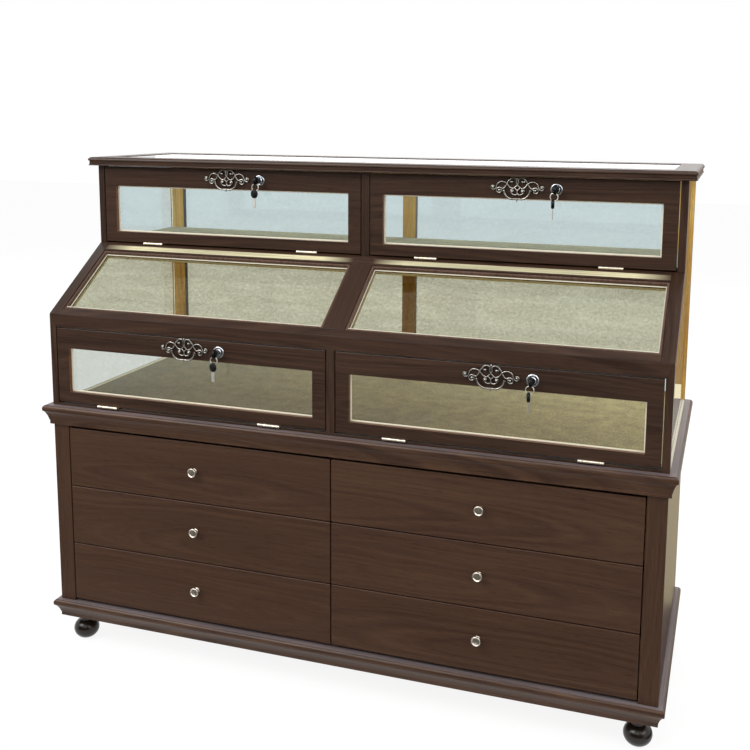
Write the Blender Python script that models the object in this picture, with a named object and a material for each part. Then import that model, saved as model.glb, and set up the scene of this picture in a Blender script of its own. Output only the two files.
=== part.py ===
"""Jewelry display cabinet: a chest of six drawers that carries a stepped, glazed showcase.

Metres, +Z up, +X to the viewer's right, -Y towards the viewer. The origin is on the floor, in the
middle of the cabinet's box. Left and right are the viewer's.
"""

import math
from collections import namedtuple

import bmesh
import bpy
from mathutils import Matrix, Vector

# Clearances
SEAT = 0.0003               # between pieces that touch
DOOR_GAP = 0.002            # beside and above a closed door
DRAWER_GAP = 0.002          # around a drawer front
RUNNER_GAP = 0.001          # beside a drawer box
PANE_GAP = 0.0005           # around the edge of a glass pane
CAM_GAP = 0.0008            # between a lock's cam and the rail it turns behind
CUT_OVERRUN = 0.010         # how far a cutter passes the face it cuts
FUSE_DEPTH = 0.001          # how far a shape runs into the one it is fused with

# Chest
BODY_WIDTH = 1.200
BODY_DEPTH = 0.480
FOOT_HEIGHT = 0.058
FOOT_RADIUS = 0.0255
FOOT_NECK_RADIUS = 0.013
FOOT_COLLAR_RADIUS = 0.019
FOOT_COLLAR_HEIGHT = 0.006
FOOT_NECK_HEIGHT = 0.008
FOOT_INSET = 0.034          # from the body's faces to the foot's axis
PLINTH_HEIGHT = 0.036
PLINTH_OVERHANG = 0.012
PLINTH_NOSE = 0.013
PLINTH_FILLET = 0.001       # overhang of the square step below the cove
WAIST_HEIGHT = 0.0395
WAIST_OVERHANG = 0.016
WAIST_NOSE = 0.013
WAIST_FILLET = 0.0055
FILLET_HEIGHT = 0.008
CHEST_SIDE = 0.020
CHEST_STILE = 0.034
CHEST_BACK = 0.010
PARTITION = 0.018

# Drawers
DRAWER_ROWS = ("bottom", "middle", "top")
DRAWER_FRONT = 0.020
DRAWER_FRONT_HEIGHT = 0.1196
DRAWER_REVEAL = 0.006       # above and below the stack of drawer fronts
BOX_WALL = 0.012
BOX_BOTTOM = 0.008
BOX_LIFT = 0.012            # box underside above the front's lower edge
BOX_DROP = 0.018            # box top below the front's upper edge
BOX_BACK_GAP = 0.040
RUNNER_HEIGHT = 0.012
KNOB_RADIUS = 0.0093
KNOB_STEM_RADIUS = 0.004
KNOB_BASE_RADIUS = 0.0058
KNOB_BASE = 0.0025
KNOB_STEM = 0.0035
KNOB_HEAD = 0.007
KNOB_BACK_BEVEL = 0.0025    # along the axis, behind the head
KNOB_FACE_BEVEL = 0.0018    # along the axis, round the head's face
KNOB_DISH = 0.0018          # depth of the hollow in the knob's face
KNOB_RIM = 0.0022
KNOB_RISE = 0.003           # knob above the middle of its drawer front

# Showcase frames
FRAME_DEPTH = 0.020         # front frames and doors
POST_WIDTH = 0.0135
MULLION_WIDTH = 0.016
SILL_HEIGHT = 0.0042
TRANSOM_HEIGHT = 0.026
SLOPE_RUN = 0.181
SLOPE_RISE = 0.1225
SLOPE_STILE = 0.0225
SLOPE_CENTRE = 0.043
SLOPE_BOTTOM_RAIL = 0.018
SLOPE_TOP_RAIL = 0.0245
SLOPE_LEDGE = 0.006
SLOPE_RECESS = 0.0095       # top of the sloping glass below the frame's face
POST_TENON = 0.004          # how deep the upper posts stand in the slope's top rail
BACK_DEPTH = 0.018
BACK_STILE = 0.038
BACK_MULLION = 0.030
BACK_TOP_RAIL = 0.030
BACK_BOTTOM_RAIL = 0.014
BACK_REBATE = 0.006
SHELF_THICKNESS = 0.015
SHELF_RISE = 0.005          # shelf top above the upper doors' ledge
LINING_THICKNESS = 0.004
CAP_HEIGHT = 0.0172
CAP_OVERHANG = 0.015
CAP_NOSE = 0.009
CAP_FILLET_OVERHANG = 0.003
CAP_FILLET_HEIGHT = 0.003
CAP_RAIL = 0.049
CAP_LEDGE = 0.006
CAP_RECESS = 0.001          # top glass below the cap's face

# Glass
SIDE_GLASS = 0.005
SIDE_GLASS_INSET = 0.004
SLOPE_GLASS = 0.005
BACK_GLASS = 0.004
TOP_GLASS = 0.005
DOOR_GLASS = 0.004

# Doors
LOWER_DOOR_HEIGHT = 0.150
UPPER_DOOR_HEIGHT = 0.1575
DOOR_STILE = 0.026
DOOR_TOP_RAIL = 0.040
DOOR_BOTTOM_RAIL = 0.0215
DOOR_LIP = 0.010            # wood in front of the door's glass
DOOR_REBATE = 0.006
HINGE_RADIUS = 0.0025
HINGE_LENGTH = 0.044
HINGE_INSET = 0.113         # from a door's side edge to the middle of a hinge
HINGE_LEAF = 0.014

# Scroll handles, measured from the middle of the plate
HANDLE_DROP = 0.0195        # plate middle below the door's top edge
HANDLE_PLATE = 0.003
HANDLE_BAR = 0.002          # half height of the plate where no scroll is
HANDLE_CROWN = 0.019        # the middle scrolls above the plate's middle
HANDLE_FOOT = 0.0135        # and below it
HANDLE_SCROLLS = ((0.017, 0.0120), (0.0315, 0.0078), (0.0465, 0.0045))
HANDLE_STATIONS = 32
LUG_OFFSET = 0.0245         # inner face of a bail lug from the plate's middle
LUG_WIDTH = 0.004
LUG_HEIGHT = 0.007
PIVOT_DROP = 0.005          # bail pivot below the plate's middle
BAIL_DROP = 0.0155
BAIL_RADIUS = 0.0018
BAIL_STUB = 0.003
BAIL_GRIP = 0.013           # half length of the straight grip
BAIL_GAP = 0.0007           # between a hanging bail and the plate

# Cam locks
LOCK_OFFSET = 0.072         # to the right of the handle's middle
LOCK_DROP = 0.0205          # below the door's top edge
PLUG_RADIUS = 0.0062
PLUG_PROUD = 0.004
CAM_LENGTH = 0.030
CAM_WIDTH = 0.010
CAM_THICKNESS = 0.002
KEY_SHANK = 0.005
KEY_SHANK_HEIGHT = 0.008
KEY_SHANK_WIDTH = 0.0022
KEY_BOW_HEIGHT = 0.021
KEY_BOW_DEPTH = 0.016
KEY_BOW_WIDTH = 0.006

# Facets
ROUND_STEPS = 16
BAIL_STEPS = 8
CURVE_STEPS = 4
BOW_STEPS = 14
SMOOTH_ANGLE = math.radians(50)

# Levels, from the floor up
SLOPE_ANGLE = math.atan2(SLOPE_RISE, SLOPE_RUN)
SLOPE_LENGTH = math.hypot(SLOPE_RUN, SLOPE_RISE)
MITRE_ANGLE = (math.pi / 2 - SLOPE_ANGLE) / 2
HINGE_REACH = HINGE_RADIUS + SEAT
HINGE_LIFT = HINGE_REACH * (1 - math.sin(SLOPE_ANGLE)) / math.cos(SLOPE_ANGLE)
HINGE_SPACE = 2 * HINGE_LIFT
PLINTH_TOP = FOOT_HEIGHT + PLINTH_HEIGHT
DRAWER_PITCH = DRAWER_FRONT_HEIGHT + DRAWER_GAP
FIRST_DRAWER = PLINTH_TOP + DRAWER_REVEAL
WAIST_BOTTOM = FIRST_DRAWER + len(DRAWER_ROWS) * DRAWER_PITCH - DRAWER_GAP + DRAWER_REVEAL
WAIST_TOP = WAIST_BOTTOM + WAIST_HEIGHT
SHOWCASE_BOTTOM = WAIST_TOP + SEAT
SILL_TOP = SHOWCASE_BOTTOM + SILL_HEIGHT
LOWER_DOOR_TOP = SILL_TOP + HINGE_SPACE + LOWER_DOOR_HEIGHT
TRANSOM_BOTTOM = LOWER_DOOR_TOP + DOOR_GAP
SLOPE_FOOT = TRANSOM_BOTTOM + TRANSOM_HEIGHT
LEDGE = SLOPE_FOOT + SLOPE_RISE
UPPER_DOOR_TOP = LEDGE + HINGE_SPACE + UPPER_DOOR_HEIGHT
CAP_BOTTOM = UPPER_DOOR_TOP + DOOR_GAP
CAP_TOP = CAP_BOTTOM + CAP_HEIGHT

# Depths, from the front back
KNOB_REACH = SEAT + KNOB_BASE + KNOB_STEM + KNOB_HEAD
KEY_REACH = PLUG_PROUD + KEY_SHANK + KEY_BOW_DEPTH
FRONT_REACH = max(KNOB_REACH, KEY_REACH, WAIST_OVERHANG, PLINTH_OVERHANG)
FRONT = (FRONT_REACH - BODY_DEPTH) / 2
BACK = FRONT + BODY_DEPTH
UPPER_FRONT = FRONT + SLOPE_RUN
BACK_FRAME_FRONT = BACK - BACK_DEPTH
HALF_WIDTH = BODY_WIDTH / 2

# Widths
SIDE_GLASS_OUTER = HALF_WIDTH - SIDE_GLASS_INSET
SIDE_GLASS_INNER = SIDE_GLASS_OUTER - SIDE_GLASS
DOOR_INNER_EDGE = MULLION_WIDTH / 2 + DOOR_GAP
DOOR_OUTER_EDGE = HALF_WIDTH - POST_WIDTH - DOOR_GAP
DOOR_WIDTH = DOOR_OUTER_EDGE - DOOR_INNER_EDGE
DOOR_CENTRE = (DOOR_OUTER_EDGE + DOOR_INNER_EDGE) / 2
DRAWER_OUTER_EDGE = HALF_WIDTH - CHEST_STILE - DRAWER_GAP
DRAWER_INNER_EDGE = DRAWER_GAP / 2
DRAWER_CENTRE = (DRAWER_OUTER_EDGE + DRAWER_INNER_EDGE) / 2
BOX_OUTER = HALF_WIDTH - CHEST_STILE - RUNNER_GAP
BOX_INNER = PARTITION / 2 + RUNNER_GAP

SIDES = (("left", -1), ("right", 1))
Tier = namedtuple("Tier", "name front sill door_height")
TIERS = (
    Tier("lower", FRONT, SILL_TOP, LOWER_DOOR_HEIGHT),
    Tier("upper", UPPER_FRONT, LEDGE, UPPER_DOOR_HEIGHT),
)


def clear_scene():
    """Removes whatever the open file holds."""
    for old in list(bpy.data.objects):
        bpy.data.objects.remove(old, do_unlink=True)


def finish(name, colour, roughness, metallic=0.0, alpha=1.0):
    """Returns a Principled material of one plain finish."""
    material = bpy.data.materials.new(name)
    material.use_nodes = True
    shader = material.node_tree.nodes["Principled BSDF"]
    shader.inputs["Base Color"].default_value = (*colour, 1.0)
    shader.inputs["Roughness"].default_value = roughness
    shader.inputs["Metallic"].default_value = metallic
    shader.inputs["Alpha"].default_value = alpha
    return material


def finishes():
    """Returns the cabinet's materials by plain name."""
    return {
        "wood": finish("stained_walnut", (0.062, 0.035, 0.023), 0.38),
        "foot": finish("dark_turned_wood", (0.022, 0.014, 0.011), 0.25),
        "lining": finish("olive_lining", (0.20, 0.19, 0.085), 0.85),
        "glass": finish("clear_glass", (0.85, 0.92, 0.88), 0.05, alpha=0.3),
        "pewter": finish("antique_pewter", (0.30, 0.27, 0.23), 0.35, metallic=1.0),
        "brass": finish("bright_brass", (0.80, 0.62, 0.33), 0.22, metallic=1.0),
        "chrome": finish("chrome_lock", (0.75, 0.76, 0.78), 0.12, metallic=1.0),
        "nickel": finish("satin_nickel", (0.62, 0.59, 0.54), 0.28, metallic=1.0),
    }


def mesh_of(bm, smooth):
    """Turns a bmesh into a mesh with outward faces, shaded smooth where the piece is round."""
    bmesh.ops.recalc_face_normals(bm, faces=bm.faces)
    mesh = bpy.data.meshes.new("shape")
    bm.to_mesh(mesh)
    bm.free()
    if smooth:
        mesh.shade_smooth()
        mesh.set_sharp_from_angle(angle=SMOOTH_ANGLE)
    return mesh


def lofted(loops, closed=False, smooth=False):
    """Skins a row of point loops, either capped at both ends or closed on itself."""
    bm = bmesh.new()
    rings = [[bm.verts.new(point) for point in loop] for loop in loops]
    count = len(loops[0])
    pairs = list(zip(rings, rings[1:]))
    if closed:
        pairs.append((rings[-1], rings[0]))
    for first, second in pairs:
        for index in range(count):
            following = (index + 1) % count
            bm.faces.new((first[index], first[following], second[following], second[index]))
    if not closed:
        bm.faces.new(rings[0])
        bm.faces.new(rings[-1])
    return mesh_of(bm, smooth)


def boxed(low, high):
    """Returns a box between two corners."""
    loops = []
    for z in (low[2], high[2]):
        loops.append([(low[0], low[1], z), (high[0], low[1], z), (high[0], high[1], z), (low[0], high[1], z)])
    return lofted(loops)


def along_x(outline, low, high):
    """Extrudes an outline of (y, z) points from x low to x high."""
    return lofted([[(x, y, z) for y, z in outline] for x in (low, high)])


def along_y(outline, low, high):
    """Extrudes an outline of (x, z) points from y low to y high."""
    return lofted([[(x, y, z) for x, z in outline] for y in (low, high)])


def circle(radius, steps=ROUND_STEPS):
    """Returns points round a circle about the origin of its plane."""
    turns = [2 * math.pi * step / steps for step in range(steps)]
    return [(radius * math.cos(turn), radius * math.sin(turn)) for turn in turns]


def turned_upright(profile):
    """Turns (radius, height) points about Z, with flat ends."""
    loops = [[(x, y, height) for x, y in circle(radius)] for radius, height in profile]
    return lofted(loops, smooth=True)


def turned_forward(profile):
    """Turns (radius, reach) points about -Y, reach being towards the viewer."""
    loops = [[(x, -reach, z) for x, z in circle(radius)] for radius, reach in profile]
    return lofted(loops, smooth=True)


def combined(mesh, tools, operation):
    """Returns the mesh after an exact Boolean with each tool mesh in turn."""
    scene = bpy.context.scene.collection.objects
    holder = bpy.data.objects.new("holder", mesh)
    scene.link(holder)
    helpers = []
    for tool in tools:
        helper = bpy.data.objects.new("tool", tool)
        scene.link(helper)
        helpers.append(helper)
        boolean = holder.modifiers.new("join", "BOOLEAN")
        boolean.operation = operation
        boolean.solver = "EXACT"
        boolean.object = helper
    bpy.context.view_layer.update()
    evaluated = holder.evaluated_get(bpy.context.evaluated_depsgraph_get())
    result = bpy.data.meshes.new_from_object(evaluated)
    for helper in (holder, *helpers):
        spent = helper.data
        bpy.data.objects.remove(helper)
        bpy.data.meshes.remove(spent)
    return result


def cut(mesh, tools):
    """Returns the mesh with each tool cut away."""
    return combined(mesh, tools, "DIFFERENCE")


def fused(mesh, tools):
    """Returns the mesh joined with each tool into one body."""
    return combined(mesh, tools, "UNION")


def piece(name, mesh, material, location=(0, 0, 0), parent=None):
    """Adds one named sub-part with its finish to the scene."""
    if not mesh.materials:
        mesh.materials.append(material)
    node = bpy.data.objects.new(name, mesh)
    node.location = location
    node.parent = parent
    bpy.context.scene.collection.objects.link(node)
    return node


def pivot(name, location):
    """Adds an empty on a joint's axis, which carries the pieces that move with it."""
    empty = bpy.data.objects.new(name, None)
    empty.location = location
    bpy.context.scene.collection.objects.link(empty)
    return empty


def moulding(overhang, height, nose, fillet_overhang, fillet_height):
    """Returns (overhang, height) points down a moulded edge: round nose, cove and square fillet."""
    radius = nose / 2
    points = []
    for step in range(CURVE_STEPS + 1):
        turn = math.pi / 2 - math.pi * step / CURVE_STEPS
        points.append((overhang - radius + radius * math.cos(turn), height - radius + radius * math.sin(turn)))
    reach = overhang - radius - fillet_overhang
    drop = height - nose - fillet_height
    for step in range(1, CURVE_STEPS + 1):
        turn = math.pi / 2 * step / CURVE_STEPS
        points.append((overhang - radius - reach * math.sin(turn), fillet_height + drop * math.cos(turn)))
    points.append((fillet_overhang, 0.0))
    return points


def plan(grow, front, z):
    """Returns the cabinet's plan, grown past its front and sides but flush at the back."""
    x = HALF_WIDTH + grow
    return [(-x, front - grow, z), (x, front - grow, z), (x, BACK, z), (-x, BACK, z)]


def moulded_board(profile, bottom):
    """Returns a full-depth board whose front and side edges carry a moulding."""
    return lofted([plan(grow, FRONT, bottom + height) for grow, height in profile])


def slope_point(distance, depth):
    """Returns (y, z) a distance up the slope and a depth below its face."""
    y = FRONT + distance * math.cos(SLOPE_ANGLE) + depth * math.sin(SLOPE_ANGLE)
    z = SLOPE_FOOT + distance * math.sin(SLOPE_ANGLE) - depth * math.cos(SLOPE_ANGLE)
    return y, z


def slope_box(side, inset, high, low):
    """Returns a box in the slope's plane, inset all round from one pane's rebate."""
    near = SLOPE_CENTRE / 2 + inset
    far = HALF_WIDTH - SLOPE_STILE - inset
    bottom = SLOPE_BOTTOM_RAIL + inset
    top = SLOPE_LENGTH - SLOPE_TOP_RAIL - inset
    outline = [slope_point(bottom, high), slope_point(top, high), slope_point(top, low), slope_point(bottom, low)]
    return along_x(outline, side * near, side * far)


def slope_underside(y):
    """Returns the height of the slope frame's underside at a depth y."""
    return SLOPE_FOOT + (y - FRONT) * math.tan(SLOPE_ANGLE) - FRAME_DEPTH / math.cos(SLOPE_ANGLE)


def build_feet(looks):
    """Four turned bun feet under the plinth's corners."""
    top = FOOT_HEIGHT - SEAT
    bun = top - FOOT_COLLAR_HEIGHT - FOOT_NECK_HEIGHT
    profile = []
    for step in range(1, 2 * CURVE_STEPS):
        turn = math.pi * step / (2 * CURVE_STEPS)
        profile.append((FOOT_RADIUS * math.sin(turn), bun / 2 - bun / 2 * math.cos(turn)))
    flat = profile[0][1]
    profile = [(radius, (height - flat) * bun / (bun - flat)) for radius, height in profile]
    profile.append((FOOT_NECK_RADIUS, bun))
    profile.append((FOOT_NECK_RADIUS, bun + FOOT_NECK_HEIGHT))
    profile.append((FOOT_COLLAR_RADIUS, bun + FOOT_NECK_HEIGHT))
    profile.append((FOOT_COLLAR_RADIUS, top))
    mesh = turned_upright(profile)
    for end, y in (("front", FRONT + FOOT_INSET), ("back", BACK - FOOT_INSET)):
        for side, sign in SIDES:
            place = (sign * (HALF_WIDTH - FOOT_INSET), y, 0)
            piece(f"foot_{end}_{side}", mesh, looks["foot"], place)


def runner_boxes(near, far, sign):
    """Returns the three runners that carry one column's drawer boxes on one side."""
    boxes = []
    for row in range(len(DRAWER_ROWS)):
        top = FIRST_DRAWER + row * DRAWER_PITCH + BOX_LIFT - SEAT
        low, high = sorted((sign * near, sign * far))
        front = FRONT + DRAWER_FRONT + RUNNER_GAP
        back = BACK - CHEST_BACK - RUNNER_GAP
        boxes.append(boxed((low, front, top - RUNNER_HEIGHT), (high, back, top)))
    return boxes


def build_chest(looks):
    """Plinth, carcass, partition and the moulded top that the showcase stands on."""
    profile = moulding(PLINTH_OVERHANG, PLINTH_HEIGHT, PLINTH_NOSE, PLINTH_FILLET, FILLET_HEIGHT)
    piece("plinth_base", moulded_board(profile, FOOT_HEIGHT), looks["wood"])
    profile = moulding(WAIST_OVERHANG, WAIST_HEIGHT, WAIST_NOSE, WAIST_FILLET, FILLET_HEIGHT)
    piece("chest_top", moulded_board(profile, WAIST_BOTTOM), looks["wood"])

    stile = HALF_WIDTH - CHEST_STILE
    inner = HALF_WIDTH - CHEST_SIDE
    stile_back = FRONT + DRAWER_FRONT
    panel = BACK - CHEST_BACK
    half = [(HALF_WIDTH, BACK), (HALF_WIDTH, FRONT), (stile, FRONT), (stile, stile_back), (inner, stile_back),
            (inner, panel)]
    outline = half + [(-x, y) for x, y in reversed(half)]
    bottom = PLINTH_TOP + SEAT
    top = WAIST_BOTTOM - SEAT
    mesh = lofted([[(x, y, z) for x, y in outline] for z in (bottom, top)])
    runners = []
    for _, sign in SIDES:
        runners += runner_boxes(BOX_OUTER - BOX_WALL, inner + FUSE_DEPTH, sign)
    piece("chest_carcass", fused(mesh, runners), looks["wood"])

    low = (-PARTITION / 2, stile_back + SEAT, bottom)
    high = (PARTITION / 2, panel - SEAT, top)
    runners = []
    for _, sign in SIDES:
        runners += runner_boxes(PARTITION / 2 - FUSE_DEPTH, BOX_INNER + BOX_WALL, sign)
    piece("chest_partition", fused(boxed(low, high), runners), looks["wood"])


def drawer_mesh():
    """One drawer about the middle of its front's lower edge: front board and open box in one body."""
    half_front = (DRAWER_OUTER_EDGE - DRAWER_INNER_EDGE) / 2
    front = boxed((-half_front, 0, 0), (half_front, DRAWER_FRONT, DRAWER_FRONT_HEIGHT))
    left = BOX_INNER - DRAWER_CENTRE
    right = BOX_OUTER - DRAWER_CENTRE
    back = BODY_DEPTH - CHEST_BACK - BOX_BACK_GAP
    top = DRAWER_FRONT_HEIGHT - BOX_DROP
    box = boxed((left, DRAWER_FRONT - FUSE_DEPTH, BOX_LIFT), (right, back, top))
    hollow = boxed((left + BOX_WALL, DRAWER_FRONT, BOX_LIFT + BOX_BOTTOM),
                   (right - BOX_WALL, back - BOX_WALL, top + CUT_OVERRUN))
    return cut(fused(front, [box]), [hollow])


def mirrored(mesh):
    """Returns a copy of a mesh mirrored left to right."""
    twin = mesh.copy()
    twin.transform(Matrix.Diagonal((-1, 1, 1, 1)))
    twin.flip_normals()
    return twin


def knob_mesh():
    """A turned knob about the middle of its base: rosette, stem and a dished, rimmed head."""
    stem = KNOB_BASE + KNOB_STEM
    head = stem + KNOB_HEAD
    rim = KNOB_RADIUS - KNOB_RIM
    profile = [
        (KNOB_BASE_RADIUS, 0.0),
        (KNOB_BASE_RADIUS, KNOB_BASE / 2),
        (KNOB_STEM_RADIUS, KNOB_BASE),
        (KNOB_STEM_RADIUS, stem),
        (KNOB_RADIUS, stem + KNOB_BACK_BEVEL),
        (KNOB_RADIUS, head - KNOB_FACE_BEVEL),
        (KNOB_RADIUS - KNOB_RIM / 2, head),
        (rim, head - KNOB_DISH),
    ]
    return turned_forward(profile)


def build_drawers(looks):
    """Six drawers in two columns, each with its knob, their origins on the fronts' faces."""
    right = drawer_mesh()
    meshes = {"left": mirrored(right), "right": right}
    knob = knob_mesh()
    for row, row_name in enumerate(DRAWER_ROWS):
        for side, sign in SIDES:
            bottom = FIRST_DRAWER + row * DRAWER_PITCH
            place = (sign * DRAWER_CENTRE, FRONT, bottom)
            drawer = piece(f"drawer_{row_name}_{side}", meshes[side], looks["wood"], place)
            seat = (0, -SEAT, DRAWER_FRONT_HEIGHT / 2 + KNOB_RISE)
            piece(f"knob_{row_name}_{side}", knob, looks["nickel"], seat, drawer)


def build_lower_front_frame(looks):
    """Sill, posts, mullion and transom round the lower doors, mitred to the slope above."""
    back = FRONT + FRAME_DEPTH
    outline = [(FRONT, SHOWCASE_BOTTOM), (FRONT, SLOPE_FOOT),
               (back, SLOPE_FOOT - FRAME_DEPTH * math.tan(MITRE_ANGLE)), (back, SHOWCASE_BOTTOM)]
    mesh = along_x(outline, -HALF_WIDTH, HALF_WIDTH)
    openings = []
    for _, sign in SIDES:
        low, high = sorted((sign * MULLION_WIDTH / 2, sign * (HALF_WIDTH - POST_WIDTH)))
        openings.append(boxed((low, FRONT - CUT_OVERRUN, SILL_TOP), (high, back + CUT_OVERRUN, TRANSOM_BOTTOM)))
    piece("lower_front_frame", cut(mesh, openings), looks["wood"])


def build_upper_front_frame(looks):
    """Sloping frame with a rebate for each pane, and the posts and mullion of the upper doors."""
    corner = SLOPE_ANGLE + MITRE_ANGLE
    start = SEAT / math.sin(corner)
    back = UPPER_FRONT + FRAME_DEPTH
    outline = [slope_point(start, 0), (UPPER_FRONT, LEDGE), (back, LEDGE), (back, slope_underside(back)),
               slope_point(start + FRAME_DEPTH / math.tan(corner), FRAME_DEPTH)]
    mesh = along_x(outline, -HALF_WIDTH, HALF_WIDTH)
    tools = []
    for _, sign in SIDES:
        tools.append(slope_box(sign, 0, -CUT_OVERRUN, SLOPE_GLASS + SLOPE_RECESS))
        tools.append(slope_box(sign, SLOPE_LEDGE, -CUT_OVERRUN, FRAME_DEPTH + CUT_OVERRUN))
    mesh = cut(mesh, tools)
    uprights = []
    for low, high in ((-HALF_WIDTH, POST_WIDTH - HALF_WIDTH), (-MULLION_WIDTH / 2, MULLION_WIDTH / 2),
                      (HALF_WIDTH - POST_WIDTH, HALF_WIDTH)):
        uprights.append(boxed((low, UPPER_FRONT, LEDGE - POST_TENON), (high, back, CAP_BOTTOM - SEAT)))
    piece("upper_front_frame", fused(mesh, uprights), looks["wood"])


def build_back_frame(looks):
    """Back frame of stiles, mullion and rails, with one pane let in from behind."""
    top = CAP_BOTTOM - SEAT
    mesh = boxed((-HALF_WIDTH, BACK_FRAME_FRONT, SHOWCASE_BOTTOM), (HALF_WIDTH, BACK, top))
    outer = HALF_WIDTH - BACK_STILE
    low_z = SHOWCASE_BOTTOM + BACK_BOTTOM_RAIL
    high_z = top - BACK_TOP_RAIL
    tools = []
    for _, sign in SIDES:
        low, high = sorted((sign * BACK_MULLION / 2, sign * outer))
        tools.append(boxed((low, BACK_FRAME_FRONT - CUT_OVERRUN, low_z), (high, BACK + CUT_OVERRUN, high_z)))
    rebate = outer + BACK_REBATE
    depth = BACK - BACK_GLASS - 2 * SEAT
    tools.append(boxed((-rebate, depth, low_z - BACK_REBATE), (rebate, BACK + CUT_OVERRUN, high_z + BACK_REBATE)))
    piece("back_frame", cut(mesh, tools), looks["wood"])

    edge = rebate - PANE_GAP
    pane = boxed((-edge, depth + SEAT, low_z - BACK_REBATE + PANE_GAP),
                 (edge, depth + SEAT + BACK_GLASS, high_z + BACK_REBATE - PANE_GAP))
    piece("back_glass", pane, looks["glass"])


def cam_slot(centre):
    """Returns a cutter for the slot in the cap's underside that one lock's cam turns up into."""
    front = UPPER_FRONT + FRAME_DEPTH
    top = UPPER_DOOR_TOP - LOCK_DROP + CAM_LENGTH + CAM_GAP
    low = (centre - CAM_WIDTH / 2 - CAM_GAP, front, CAP_BOTTOM - CUT_OVERRUN)
    high = (centre + CAM_LENGTH + CAM_GAP, front + 2 * CAM_GAP + CAM_THICKNESS, top)
    return boxed(low, high)


def build_cap(looks):
    """Moulded cap frame with the top glass let in from above."""
    profile = moulding(CAP_OVERHANG, CAP_HEIGHT, CAP_NOSE, CAP_FILLET_OVERHANG, CAP_FILLET_HEIGHT)
    loops = [plan(grow, UPPER_FRONT, CAP_BOTTOM + height) for grow, height in profile]

    def opening(shrink, z):
        x = HALF_WIDTH + CAP_OVERHANG - CAP_RAIL + shrink
        front = UPPER_FRONT - CAP_OVERHANG + CAP_RAIL - shrink
        back = BACK - CAP_RAIL + shrink
        return [(-x, front, z), (x, front, z), (x, back, z), (-x, back, z)]

    ledge = CAP_TOP - CAP_RECESS - TOP_GLASS - SEAT
    loops += [opening(0, CAP_BOTTOM), opening(0, ledge), opening(CAP_LEDGE, ledge), opening(CAP_LEDGE, CAP_TOP)]
    mesh = lofted(loops, closed=True)
    slots = [cam_slot(sign * DOOR_CENTRE + LOCK_OFFSET) for _, sign in SIDES]
    piece("top_frame", cut(mesh, slots), looks["wood"])

    edge = CAP_LEDGE - PANE_GAP
    pane = lofted([opening(edge, ledge + SEAT), opening(edge, CAP_TOP - CAP_RECESS)])
    piece("top_glass", pane, looks["glass"])


def build_showcase_boards(looks):
    """The lined display floor and the shelf behind the slope's top rail."""
    edge = SIDE_GLASS_INNER - SEAT
    back = BACK_FRAME_FRONT - SEAT
    lining = boxed((-edge, FRONT + FRAME_DEPTH + SEAT, SHOWCASE_BOTTOM),
                   (edge, back, SHOWCASE_BOTTOM + LINING_THICKNESS))
    piece("display_floor", lining, looks["lining"])
    top = LEDGE + SHELF_RISE
    shelf = boxed((-edge, UPPER_FRONT + FRAME_DEPTH + SEAT, top - SHELF_THICKNESS), (edge, back, top))
    piece("upper_shelf", shelf, looks["lining"])


def build_fixed_glass(looks):
    """Stepped side panes and the two sloping panes."""
    front = FRONT + FRAME_DEPTH + SEAT
    upper = UPPER_FRONT + FRAME_DEPTH + SEAT
    back = BACK_FRAME_FRONT - SEAT
    gap = SEAT / math.cos(SLOPE_ANGLE)
    outline = [(front, SHOWCASE_BOTTOM), (front, slope_underside(front) - gap),
               (upper, slope_underside(upper) - gap), (upper, CAP_BOTTOM - SEAT),
               (back, CAP_BOTTOM - SEAT), (back, SHOWCASE_BOTTOM)]
    for side, sign in SIDES:
        low, high = sorted((sign * SIDE_GLASS_INNER, sign * SIDE_GLASS_OUTER))
        piece(f"side_glass_{side}", along_x(outline, low, high), looks["glass"])
        low_depth = SLOPE_GLASS + SLOPE_RECESS - SEAT
        pane = slope_box(sign, PANE_GAP, low_depth - SLOPE_GLASS, low_depth)
        piece(f"slope_glass_{side}", pane, looks["glass"])


def door_meshes(tier):
    """Returns a door frame and its glass, about the middle of the door's hinge line."""
    half = DOOR_WIDTH / 2
    front = HINGE_REACH
    back = front + FRAME_DEPTH
    bottom = HINGE_LIFT
    top = bottom + tier.door_height
    sight_x = half - DOOR_STILE
    sight_low = bottom + DOOR_BOTTOM_RAIL
    sight_high = top - DOOR_TOP_RAIL
    shoulder = front + DOOR_LIP
    sight = boxed((-sight_x, front - CUT_OVERRUN, sight_low), (sight_x, back + CUT_OVERRUN, sight_high))
    rebate = boxed((-sight_x - DOOR_REBATE, shoulder, sight_low - DOOR_REBATE),
                   (sight_x + DOOR_REBATE, back + CUT_OVERRUN, sight_high + DOOR_REBATE))
    bore = along_y([(LOCK_OFFSET + x, top - LOCK_DROP + z) for x, z in circle(PLUG_RADIUS + SEAT)],
                   front - CUT_OVERRUN, back + CUT_OVERRUN)
    frame = cut(boxed((-half, front, bottom), (half, back, top)), [sight, rebate, bore])
    edge = DOOR_REBATE - PANE_GAP
    glass = boxed((-sight_x - edge, shoulder + SEAT, sight_low - edge),
                  (sight_x + edge, shoulder + SEAT + DOOR_GLASS, sight_high + edge))
    return frame, glass


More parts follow.
